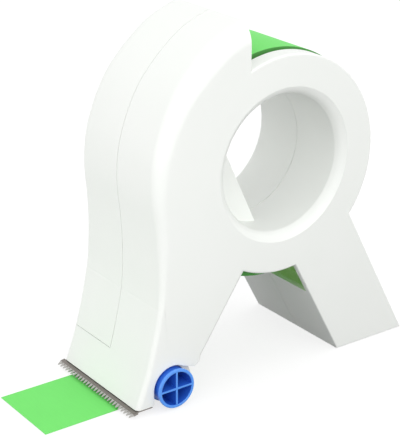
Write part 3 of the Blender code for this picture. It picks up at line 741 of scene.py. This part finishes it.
def front_round(z):
    """How round the front's edges are at a height."""
    share = min(max((z - ROUND_FROM) / (ROUND_UNTIL - ROUND_FROM), 0.0), 1.0)
    return NOSE_ROUND + (HOOD_ROUND - NOSE_ROUND) * share


def rim_hit(point, way, radius):
    """Where a line from the point meets a circle round the hub."""
    start = Vector(point) - Vector(HUB)
    b = start.dot(way)
    return Vector(point) + way * (-b - math.sqrt(b * b - start.length_squared + radius**2))


def behind(x):
    """Everything behind a plane across the hood."""
    return box("behind", (x, -BODY_WIDTH, 0.0), (x + BODY_WIDTH, BODY_WIDTH, 2 * TOP))


def front_plate(name):
    spine = spine_points()
    slot = arc(ROLLER, SLOT_RADIUS, math.pi, SLOT_END)
    heel = [(ROLLER[0] + back, ROLLER[1] + up) for back, up in (HEEL_LOW, HEEL_HIGH)]
    near_heel = tuple(Vector(heel[1]) + NOSE_BACK_WAY * CUT_OVER)
    belly = tuple(rim_hit(heel[1], NOSE_BACK_WAY, RIM_RADIUS - INTO_DISC))
    outline = spine + [(SLOT_FRONT_X, spine[-1][1])] + slot + heel + [near_heel, belly, (spine[0][0], HUB[1])]
    radii = [front_round(z) for x, z in spine] + [CRISP_ROUND] * (3 + len(slot))
    radii += [NOSE_ROUND, NOSE_ROUND, 0.0]
    low, high = (-BODY_WIDTH * 2, -BODY_WIDTH, -BODY_WIDTH), (ROLLER[0], BODY_WIDTH, NOSE_CLEARANCE)
    return cut(rounded_plate(name, outline, radii, HALF), behind(BACK_X), box("under_nose", low, high))


def leg_x(height, rear):
    """Where the leg's front or rear face is at a height."""
    return HUB[0] + LEG_REACH - (0.0 if rear else FOOT_LENGTH) - height / math.tan(LEG_LEAN)


def leg_plate(name):
    corners = ((0.0, False), (0.0, True), (LEG_TOP, True), (LEG_TOP, False))
    return rounded_plate(name, [(leg_x(z, rear), z) for z, rear in corners], [LEG_ROUND] * 4, HALF)


def disc_plate(name):
    outline = arc(HUB, RIM_RADIUS, 0.0, math.tau)[:-1]
    return rounded_plate(name, outline, [RIM_ROUND] * len(outline), HALF)


print("edges of the front:", round(HOOD_ROUND * 1000, 1), "mm round above,", NOSE_ROUND * 1000, "below")

# %% [markdown]
# ## The line where the halves meet
#
# A fine groove runs down the middle of the front and round the leg. It is too narrow for the
# picture to show its depth, but its edges catch light and shade. A dark line in the material
# would look painted in another light. So a band with the section of a V cuts a real groove.

# %% Seams, and the whole outside
SEAM_HALF, SEAM_DEPTH = 0.0002, 0.00045
SPLIT_HEIGHT = 0.019


def seam_band(name, points):
    """A V-shaped band along a side-view line, that cuts the fine groove where the halves meet."""
    lines = [Vector(b) - Vector(a) for a, b in zip(points, points[1:])]
    vertices = []
    for i, point in enumerate(points):
        along = (lines[max(i - 1, 0)].normalized() + lines[min(i, len(lines) - 1)].normalized()).normalized()
        way = Vector((-along.y, along.x))
        out, deep = Vector(point) - way * SEAM_DEPTH, Vector(point) + way * SEAM_DEPTH
        vertices += [(out.x, -2 * SEAM_HALF, out.y), (deep.x, 0.0, deep.y), (out.x, 2 * SEAM_HALF, out.y)]
    faces = [(0, 1, 2), (len(vertices) - 1, len(vertices) - 2, len(vertices) - 3)]
    for start in range(0, len(vertices) - 3, 3):
        for k in range(3):
            faces.append((start + k, start + (k + 1) % 3, start + 3 + (k + 1) % 3, start + 3 + k))
    mesh = bpy.data.meshes.new(name)
    mesh.from_pydata(vertices, [], faces)
    return new_object(name, cleaned(mesh))


front_line = [point for point in spine_points() if point[1] > SPLIT_HEIGHT]
leg = cut(
    leg_plate("leg"),
    seam_band("leg_front_seam", [(leg_x(LEG_TOP, False), LEG_TOP), (leg_x(-CUT_OVER, False), -CUT_OVER)]),
    seam_band("leg_back_seam", [(leg_x(-CUT_OVER, True), -CUT_OVER), (leg_x(LEG_TOP, True), LEG_TOP)]),
    seam_band("foot_seam", [(leg_x(0.0, False) - CUT_OVER, 0.0), (leg_x(0.0, True) + CUT_OVER, 0.0)]),
)
body = join(cut(front_plate("body"), seam_band("front_seam", front_line)), disc_plate("disc"), leg)
print("outside of the body:", len(body.data.polygons), "faces")

# %% [markdown]
# ## The hollow and the slots
#
# Inside, the body is empty: a wall of 2.4 mm follows the outside. A slot round the rim lets the
# roll show at the back and under the belly, and a window opens the leg's front to the roll. The
# Solidify modifier could grow a wall from the skin, but it would also follow each groove and slot.
# So the same three plates are drawn again, one wall further in, and cut away.

# %% Hollow
BAR_TOP, INNER_ROUND = 0.009, 0.0006
SLOT_HALF = TAPE_WIDTH / 2 + 0.003
OPENING_RISE, OPENING_ROOF = 0.0392, 0.0048
WINDOW_LOW, WINDOW_HIGH, WINDOW_REACH = 0.0327, 0.047, 0.0048


def heel_inside(inset):
    """The upper corner of the nose's heel, moved in from its leaning back."""
    return ROLLER[0] + HEEL_HIGH[0] - inset / math.sin(NOSE_BACK_LEAN), ROLLER[1] + HEEL_HIGH[1]


def front_hollow():
    """The front one wall further in, and open below round the roller."""
    spine = spine_points()
    inner = [tuple(Vector(spine[i]) + inward(spine, i) * WALL) for i in range(1, len(spine) - 2)]
    inner = [p for p in inner if p[1] > BAR_TOP]
    first = tuple(Vector(inner[0]) + (Vector(spine[0]) - Vector(spine[1])))
    heel = heel_inside(WALL)
    drop_x = heel[0] - (heel[1] - ROLLER[1]) / math.tan(NOSE_BACK_LEAN)
    belly = tuple(rim_hit(heel, NOSE_BACK_WAY, RIM_RADIUS - INTO_DISC))
    floor = [(inner[-1][0], BAR_TOP), (SLOT_FRONT_X, BAR_TOP), (SLOT_FRONT_X, -CUT_OVER)]
    floor += [(drop_x, -CUT_OVER), (drop_x, ROLLER[1])]
    outline = [first] + inner + floor + [belly, (first[0], HUB[1])]
    radii = [max(front_round(z) - WALL, INNER_ROUND) for x, z in [first] + inner] + [0.0] * 7
    return cut(rounded_plate("hollow", outline, radii, INNER_HALF), behind(BACK_X - WALL))


def hollow():
    disc = arc(HUB, RIM_RADIUS - WALL, 0.0, math.tau)[:-1]
    shift = WALL / math.sin(LEG_LEAN)
    corners = ((WALL, False), (WALL, True), (LEG_TOP, True), (LEG_TOP, False))
    leg = [(leg_x(z, rear) + (-shift if rear else shift), z) for z, rear in corners]
    return join(
        front_hollow(),
        rounded_plate("hollow_disc", disc, [INNER_ROUND] * len(disc), INNER_HALF),
        rounded_plate("hollow_leg", leg, [INNER_ROUND] * 4, INNER_HALF),
    )


def hood_opening():
    low = (BACK_X - WALL - CUT_OVER, -SLOT_HALF, HUB[1] + OPENING_RISE)
    return box("hood_opening", low, (BACK_X + CUT_OVER, SLOT_HALF, TOP - OPENING_ROOF))


def leg_window():
    side = INNER_HALF - PART_GAP
    low = (leg_x(WINDOW_HIGH, False) - CUT_OVER, -side, WINDOW_LOW)
    return box("leg_window", low, (leg_x(WINDOW_LOW, False) + WINDOW_REACH, side, WINDOW_HIGH))


roll_space = rod("roll_space", ROLL_CENTRE, ROLL_RADIUS + ROLL_CLEARANCE, -SLOT_HALF, SLOT_HALF, FINE)
cut(body, hollow(), roll_space, hood_opening(), leg_window())
print("hollow body:", len(body.data.polygons), "faces")

# %% [markdown]
# ## Hub, spacer ribs and bosses
#
# The core rides on a hub: a tube round the finger hole, with eight ribs outside so that little
# plastic rubs on the card. Six thin ribs on each wall keep the roll in the middle, and four round
# bosses take the pins that hold the halves together. Each is one side view given some width, and
# reaches a little into the wall, because two solids that only touch can't be joined cleanly.

# %% Hub and spacer ribs
HUB_RIB_COUNT, HUB_RIB_HALF, HUB_INTO_WALL = 8, 0.001, 0.0004
SPACER_COUNT, SPACER_START, SPACER_HALF = 6, 67.5, 0.0008
SPACER_NEAR, SPACER_FAR, SPACER_GAP, SPACER_INTO_WALL = 0.03175, 0.0455, 0.0008, 0.0008


def hub_outline():
    half_rib = math.asin(HUB_RIB_HALF / HUB_RIB_RADIUS)
    pitch = math.tau / HUB_RIB_COUNT
    points = []
    for i in range(HUB_RIB_COUNT):
        middle = math.pi / 2 + i * pitch
        points += [polar(HUB_RIB_RADIUS, middle + side * half_rib, HUB) for side in (-1, 1)]
        points += arc(HUB, HUB_TUBE_RADIUS, middle + half_rib, middle + pitch - half_rib)
    return points


def plain_plate(name, outline, low, high):
    return rounded_plate(name, outline, [0.0] * len(outline), (high - low) / 2, middle=(low + high) / 2)


join(body, plain_plate("hub_tube", hub_outline(), -INNER_HALF - HUB_INTO_WALL, INNER_HALF + HUB_INTO_WALL))
for i in range(SPACER_COUNT):
    out = Vector(polar(1.0, math.radians(SPACER_START + 360 // SPACER_COUNT * i)))
    across = Vector((-out.y, out.x)) * SPACER_HALF
    near, far = Vector(HUB) + out * SPACER_NEAR, Vector(HUB) + out * SPACER_FAR
    rib = [tuple(near - across), tuple(far - across), tuple(far + across), tuple(near + across)]
    for side in (-1, 1):
        ends = side * (TAPE_WIDTH / 2 + SPACER_GAP), side * (INNER_HALF + SPACER_INTO_WALL)
        join(body, plain_plate("spacer", rib, *sorted(ends)))
print("body with its hub:", len(body.data.polygons), "faces")

# %% Bosses
BOSS_RADIUS, BOSS_INTO_WALL = 0.0032, 0.0012
BOSS_ANGLES = (141, -58)  # two bosses outside the roll, in degrees round its middle
LEG_BOSS_HEIGHT = 0.015


def boss_centres():
    """Two beside the roll, one in the nose's back and one in the leg."""
    ring = ROLL_RADIUS + ROLL_CLEARANCE + BOSS_RADIUS + 2 * PART_GAP
    centres = [polar(ring, math.radians(angle), ROLL_CENTRE) for angle in BOSS_ANGLES]
    heel = heel_inside(WALL + BOSS_RADIUS + 2 * PART_GAP)
    centres.append(tuple(rim_hit(heel, NOSE_BACK_WAY, ring + HUB[1] - ROLL_CENTRE[1])))
    middle_x = (leg_x(LEG_BOSS_HEIGHT, False) + leg_x(LEG_BOSS_HEIGHT, True)) / 2
    return centres + [(middle_x, LEG_BOSS_HEIGHT)]


for centre in boss_centres():
    join(body, rod("boss", centre, BOSS_RADIUS, -INNER_HALF - BOSS_INTO_WALL, INNER_HALF + BOSS_INTO_WALL))
print("body with its bosses:", len(body.data.polygons), "faces")

# %% [markdown]
# ## Finger hole, bearing pockets and screw holes
#
# The finger hole goes right through and opens into a soft lip on both sides, for the fingers. A
# plain hole could be cut and its edge bevelled, but the lip isn't quite a quarter circle. So the
# cutter is turned from a profile that has the lip in it, and the groove where the halves meet.

# %% Finger hole
LIP_STEPS, LIP_DEPTH, LIP_LAND, LIP_BELLY = 10, 0.0042, 0.0001, 0.00045


def bore_cutter():
    flare, end = BORE_RADIUS + LIP_RADIUS, HALF + CUT_OVER
    lip = []
    for i in range(LIP_STEPS + 1):
        t = i / LIP_STEPS
        belly = LIP_BELLY * math.sin(math.pi * t)
        lip.append((flare - LIP_RADIUS * t - belly, HALF - LIP_LAND - LIP_DEPTH * t + belly))
    upper = [(flare, end)] + lip
    seam = [(BORE_RADIUS, SEAM_HALF), (BORE_RADIUS + SEAM_DEPTH, 0.0), (BORE_RADIUS, -SEAM_HALF)]
    lower = [(radius, -height) for radius, height in reversed(upper)]
    profile = [(0.0, end)] + upper + seam + lower + [(0.0, -end)]
    return turned("finger_bore", profile, FINE, (HUB[0], 0.0, HUB[1]))


cut(body, bore_cutter())
print("finger hole:", BORE_RADIUS * 2000, "mm across")

# %% Bearing pockets and screw holes
BEARING_WALL, POCKET_DEPTH = 0.0022, 0.0026
POCKET_RADIUS = ROLLER_RADIUS + BEARING_WALL + PART_GAP
SCREW_X = (SLOT_FRONT_X + NOSE_TIP_X) / 2
SCREW_PLACES, SCREW_HOLE_RADIUS, SCREW_HOLE_TOP, SCREW_SIDES = (-0.02, 0.0, 0.02), 0.0014, 0.0083, 24
cut(
    body,
    rod("pocket_left", ROLLER, POCKET_RADIUS, -INNER_HALF, -INNER_HALF + POCKET_DEPTH, MEDIUM),
    rod("pocket_right", ROLLER, POCKET_RADIUS, INNER_HALF - POCKET_DEPTH, INNER_HALF, MEDIUM),
)
for y in SCREW_PLACES:
    profile = [(0.0, SCREW_HOLE_TOP), (SCREW_HOLE_RADIUS, SCREW_HOLE_TOP)]
    profile += [(SCREW_HOLE_RADIUS, -CUT_OVER), (0.0, -CUT_OVER)]
    cut(body, turned("bar_hole", profile, SCREW_SIDES, (SCREW_X, y, 0.0), UPRIGHT))
print("whole body:", len(body.data.polygons), "faces")

# %% [markdown]
# ## Two halves
#
# The real body comes from the mould in two halves that meet on the middle plane. The left half
# also has the end of the nose, with the roller and the blade. The right half pulls off sideways
# on four pins to load a fresh roll. Drawn one by one, the halves might not match. So the whole
# body is made first and parted last, with a gap of a tenth of a millimetre for the seam.

# %% Part the body
STEP_X, FAR = HUB[0] - 0.03, 0.3
HALVES_GAP, NOSE_GAP = 0.00012, 0.0003
nose_top = SPLIT_HEIGHT + NOSE_GAP
right_space = [(-FAR, SPLIT_HEIGHT), (STEP_X, SPLIT_HEIGHT), (STEP_X, -FAR)]
right_space += [(FAR, -FAR), (FAR, FAR), (-FAR, FAR)]
nose_space = [(-FAR, nose_top), (-FAR, -FAR), (STEP_X, -FAR), (STEP_X, nose_top)]
whole_side = [(-FAR, -FAR), (FAR, -FAR), (FAR, FAR), (-FAR, FAR)]
left = new_object("left_half", body.data.copy())
cut(left, plain_plate("right_space", right_space, -HALVES_GAP / 2, BODY_WIDTH))
right = cut(
    body,
    plain_plate("left_space", whole_side, -BODY_WIDTH, HALVES_GAP / 2),
    plain_plate("nose_space", nose_space, -BODY_WIDTH, BODY_WIDTH),
)
right.name = "right_half"
print("left half:", len(left.data.polygons), "faces, right half:", len(right.data.polygons))

# %% [markdown]
# ## Finger rest and pins
#
# A thin web across the left side of the finger hole gives the fingers something to lie on. Four
# pins on the left half snap into sockets in the right one. The sockets are a little wider and
# deeper than the pins, as on real mouldings, so the halves meet on the seam and not on the pins.

# %% Finger rest, pins and sockets
REST_FROM_MIDDLE, REST_WAY = 0.0145, math.radians(205.2)
REST_DEPTH, REST_HALF, REST_SOFT, REST_INTO_WALL = 0.0176, 0.0007, 0.0003, 0.00125
PIN_RADIUS, PIN_ROOT, PIN_LENGTH = 0.0016, 0.002, 0.006
SOCKET_RADIUS, SOCKET_DEPTH = 0.0019, 0.0066
rest_sweep = math.acos(REST_FROM_MIDDLE / BORE_RADIUS)
rest = arc(HUB, BORE_RADIUS + REST_INTO_WALL, REST_WAY - rest_sweep, REST_WAY + rest_sweep)
rest_middle = -HALF + REST_DEPTH + REST_HALF
join(left, rounded_plate("finger_rest", rest, [REST_SOFT] * len(rest), REST_HALF, middle=rest_middle))
for centre in boss_centres():
    join(left, rod("locating_pin", centre, PIN_RADIUS, -PIN_ROOT, PIN_LENGTH))
    cut(right, rod("pin_socket", centre, SOCKET_RADIUS, -PIN_ROOT, SOCKET_DEPTH))
finish(left, WHITE, "body_plastic", "body", "left_shell")
finish(right, WHITE, "body_plastic", "cover", "right_shell")

# %% The inside of the leg gets its white with painted green light
SLACK = 0.0001


def in_leg_hollow(face):
    x, y, z = face.center
    skin = WALL / 2
    across = leg_x(z, False) + skin < x < leg_x(z, True) - skin
    return 0.0 < z < HUB[1] / 2 and across and abs(y) < INNER_HALF + SLACK


refinish(left, LEG_INSIDE_PAINTED_LIGHT, in_leg_hollow)
refinish(right, LEG_INSIDE_PAINTED_LIGHT, in_leg_hollow)

# %% [markdown]
# ## Roller
#
# The roller is one moulding: a tube, closed in the middle, stiffened by a cross of thin ribs at
# each end. It carries a thin flange outside the body, and runs in the bearings on two grooves. It
# is round but for the ribs, so one profile is turned, and four thin boxes are joined on.

# %% Roller
FLANGE_WIDTH, FLANGE_NECK, TUBE_WALL, RIB_HALF = 0.001, 0.0006, 0.0014, 0.00045
ROLLER_OVERHANG, ROLLER_SOFT, ROLLER_SIDES = 0.0031, 0.0003, 128
GROOVE_DEPTH, WEB_HALF, RIB_ROOT = 0.0007, 0.001, 0.0005


def roller_profile(end):
    """From the web in the middle out to one end, then the same again on the other side."""
    outer, groove, inner = ROLLER_RADIUS, ROLLER_RADIUS - GROOVE_DEPTH, ROLLER_RADIUS - TUBE_WALL
    soft, neck = ROLLER_SOFT, outer - FLANGE_NECK
    upper = [
        (0.0, WEB_HALF), (inner, WEB_HALF),
        (inner, end - soft), (inner + soft / 3, end - soft / 3), (inner + soft, end),
        (outer - soft, end), (outer - soft / 3, end - soft / 3), (outer, end - soft),
        (outer, end - FLANGE_WIDTH), (neck, end - FLANGE_WIDTH - FLANGE_NECK), (neck, INNER_HALF),
        (groove, INNER_HALF), (groove, INNER_HALF - POCKET_DEPTH), (outer, INNER_HALF - POCKET_DEPTH),
    ]
    return upper + [(radius, -height) for radius, height in reversed(upper)]


def press_roller():
    end = HALF + ROLLER_OVERHANG
    roller = turned("roller", roller_profile(end), ROLLER_SIDES, (ROLLER[0], 0.0, ROLLER[1]))
    reach = ROLLER_RADIUS - TUBE_WALL + TUBE_WALL / 2
    for wide, high in ((reach, RIB_HALF), (RIB_HALF, reach)):
        for low, far in ((-end + SLACK, -RIB_ROOT), (RIB_ROOT, end - SLACK)):
            low_corner = (ROLLER[0] - wide, low, ROLLER[1] - high)
            join(roller, box("cross_rib", low_corner, (ROLLER[0] + wide, far, ROLLER[1] + high)))
    return roller


def in_shade(face):
    """The walls and the floors of the pockets, and the neck behind the flange, which get painted shade."""
    x, y, z = face.center
    along = abs(face.normal.y) < 0.5
    inside = math.hypot(x - ROLLER[0], z - ROLLER[1]) < ROLLER_RADIUS - TUBE_WALL + SLACK
    neck = along and INNER_HALF < abs(y) < HALF + ROLLER_OVERHANG - FLANGE_WIDTH
    return neck or inside and (along or abs(y) < HALF / 2)


roller = finish(press_roller(), BLUE, "roller_plastic", "roller", "press_roller")
# The pockets and the neck get the darker blue as painted shade.
refinish(roller, POCKET_PAINTED_SHADE, in_shade)

# %% [markdown]
# ## Cutting blade
#
# A strip of steel screwed under the nose. Its front is bent down a little and cut into narrow
# teeth, and each tooth is ground thinner towards its tip. A row of teeth could be cut by an Array
# of wedges. Here the outline is drawn with the teeth in it and given its thickness, which leaves
# no seams between them, and the points in front are then moved down.

# %% Outline of the blade
TOOTH_COUNT, TOOTH_DEPTH, TOOTH_REACH, TOOTH_DROP = 28, 0.0019, 0.0038, 0.0008
TOOTH_SHARES = (0.1, 0.4, 0.6, 0.9)
STRIP_THICKNESS, TIP_THICKNESS, SHOULDER, SHOULDER_BACK = 0.0007, 0.00025, 0.0011, 0.0002
BLADE_OVERHANG, BLADE_REAR_GAP = 0.0005, 0.0006
TOOTH_TIP_X = NOSE_TIP_X - TOOTH_REACH
TOOTH_ROOT_X = TOOTH_TIP_X + TOOTH_DEPTH


def blade_outline(side):
    pitch = 2 * side / TOOTH_COUNT
    rear, shoulder, root = SLOT_FRONT_X - BLADE_REAR_GAP, NOSE_TIP_X + SHOULDER_BACK, TOOTH_ROOT_X
    outline = [(rear, -side + SHOULDER), (shoulder, -side + SHOULDER), (shoulder, -side), (root, -side)]
    for i in range(TOOTH_COUNT):
        for share, x in zip(TOOTH_SHARES, (root, TOOTH_TIP_X, TOOTH_TIP_X, root)):
            outline.append((x, -side + (i + share) * pitch))
    return outline + [(root, side), (shoulder, side), (shoulder, side - SHOULDER), (rear, side - SHOULDER)]


print("blade:", TOOTH_COUNT, "teeth,", round(TOOTH_DEPTH * 1000, 1), "mm deep")

# %% Blade
HEAD_RADIUS, HEAD_TOP, HEAD_LAND = 0.0023, 0.0009, 0.0002
BEND_SLACK = 0.00001


def toothed_strip(top):
    bm = bmesh.new()
    corners = [bm.verts.new((x, y, top)) for x, y in blade_outline(HALF + BLADE_OVERHANG)]
    grown = bmesh.ops.extrude_face_region(bm, geom=[bm.faces.new(corners)])
    below = [v for v in grown["geom"] if isinstance(v, bmesh.types.BMVert)]
    bmesh.ops.translate(bm, vec=(0, 0, -STRIP_THICKNESS), verts=below)
    for x in (NOSE_TIP_X, TOOTH_ROOT_X + BEND_SLACK):
        every = bm.verts[:] + bm.edges[:] + bm.faces[:]
        bmesh.ops.bisect_plane(bm, geom=every, plane_co=(x, 0, 0), plane_no=(1, 0, 0), dist=WELD)
    for vertex in bm.verts:
        x, y, z = vertex.co
        upper = z > top - STRIP_THICKNESS / 2
        ground = max(TOOTH_ROOT_X - x, 0.0) / TOOTH_DEPTH * (STRIP_THICKNESS - TIP_THICKNESS) * upper
        vertex.co.z -= ground + TOOTH_DROP * max(NOSE_TIP_X - x, 0.0) / TOOTH_REACH
    mesh = bpy.data.meshes.new("blade")
    bm.to_mesh(mesh)
    bm.free()
    return new_object("blade", cleaned(mesh))


def blade():
    top = NOSE_CLEARANCE - PART_GAP
    strip, low = toothed_strip(top), top - STRIP_THICKNESS
    for y in SCREW_PLACES:
        profile = [(0.0, top + CUT_OVER), (SCREW_HOLE_RADIUS, top + CUT_OVER)]
        profile += [(SCREW_HOLE_RADIUS, low + HEAD_TOP), (HEAD_RADIUS, low + HEAD_LAND)]
        profile += [(HEAD_RADIUS, low - CUT_OVER), (0.0, low - CUT_OVER)]
        cut(strip, turned("countersink", profile, COARSE, (SCREW_X, y, 0.0), UPRIGHT))
    return strip


strip = finish(blade(), BLADE_STEEL, "blade_steel", "body", "cutting_blade")
refinish(strip, TOOTH_STEEL, lambda face: face.center.x < TOOTH_ROOT_X)

# %% [markdown]
# ## Tape and core
#
# The roll is a ring whose sides are wound layers, not quite level. From its front the tape runs
# down behind the roller, under it and forward past the blade. A ring with flat sides would look
# like a machined part, so the profile has sixteen low steps. The tape's path is two arcs with a
# straight line between them that touches both, because pulled tape is straight in between.

# %% Roll and core
ROLL_INNER = CORE_BORE_RADIUS + CORE_WALL
ROLL_STEPS, ROLL_UNEVENNESS, CORE_STEPS, CORE_UNEVENNESS = 16, 0.00008, 4, 0.00005
RING_SIDES, RING_SOFT, STEP_WIDTH, STEP_WAVE = 240, 0.0001, 0.00004, 2.4


def tape_ring(name, inner, outer, layers, unevenness):
    def level(i):
        return half - unevenness * (0.5 + 0.5 * math.sin(i * STEP_WAVE))

    half = TAPE_WIDTH / 2
    upper = [(inner, half - RING_SOFT), (inner + RING_SOFT, half)]
    for i in range(1, layers):
        radius = inner + (outer - inner) * i / layers
        upper += [(radius - STEP_WIDTH, level(i - 1)), (radius, level(i))]
    upper += [(outer - RING_SOFT, half), (outer, half - RING_SOFT)]
    profile = upper + [(radius, -height) for radius, height in reversed(upper)]
    return turned(name, profile, RING_SIDES, (ROLL_CENTRE[0], 0.0, ROLL_CENTRE[1]))


ring = tape_ring("roll", ROLL_INNER, ROLL_RADIUS, ROLL_STEPS, ROLL_UNEVENNESS)
roll = finish(ring, GREEN, "green_tape", "roll", "tape_roll")
# The roll's flat sides get the darker green, partly painted shade.
refinish(roll, WOUND_SIDE_AND_SHADE, lambda face: abs(face.normal.y) > 0.5)
core = tape_ring("core", CORE_BORE_RADIUS, ROLL_INNER, CORE_STEPS, CORE_UNEVENNESS)
finish(core, BOARD, "core_board", "roll", "tape_core")

# %% Tape from the roll to its free end
TAPE_LIFT, TAPE_END_REACH = math.radians(12), 0.1154
ROLL_ARC_STEP, ROLLER_ARC_STEP = math.radians(1), math.radians(3)


def tape_lead():
    half = TAPE_THICKNESS / 2
    roll_turn, roller_turn = ROLL_RADIUS + PART_GAP + half, ROLLER_RADIUS + PART_GAP + half
    between = Vector(ROLL_CENTRE) - Vector(ROLLER)
    normal = math.atan2(between.y, between.x) - math.acos((roll_turn + roller_turn) / between.length)
    start = normal + math.pi - TAPE_LIFT

    def side(offset):
        top = arc(ROLL_CENTRE, roll_turn + offset, start, normal + math.pi, ROLL_ARC_STEP)
        bottom = arc(ROLLER, roller_turn - offset, normal, -math.pi / 2, ROLLER_ARC_STEP)
        return top + bottom + [(HUB[0] - TAPE_END_REACH, ROLLER[1] - roller_turn + offset)]

    return plain_plate("lead", side(half) + side(-half)[::-1], -TAPE_WIDTH / 2, TAPE_WIDTH / 2)


finish(tape_lead(), GREEN, "green_tape", "body", "tape_lead")

# %% [markdown]
# ## The pieces that keep their CAD shape
#
# The bearings, the screws and the springs are small and simple, and their CAD shapes are already
# what a close look shows. Made again, they would gain nothing. So they only get their finishes.

# %% Finishes for bearings, screws and springs
KEPT_PIECES = {
    "roller_bearing_left": ACETAL, "roller_bearing_right": ACETAL,
    "blade_screw_left": ZINC, "blade_screw_middle": ZINC, "blade_screw_right": ZINC,
    "drag_spring_front": SPRING_STEEL, "drag_spring_rear": SPRING_STEEL,
}
for name, material in KEPT_PIECES.items():
    nodes[name].data.materials.clear()
    nodes[name].data.materials.append(material)
print("CAD shapes kept:", len(KEPT_PIECES))
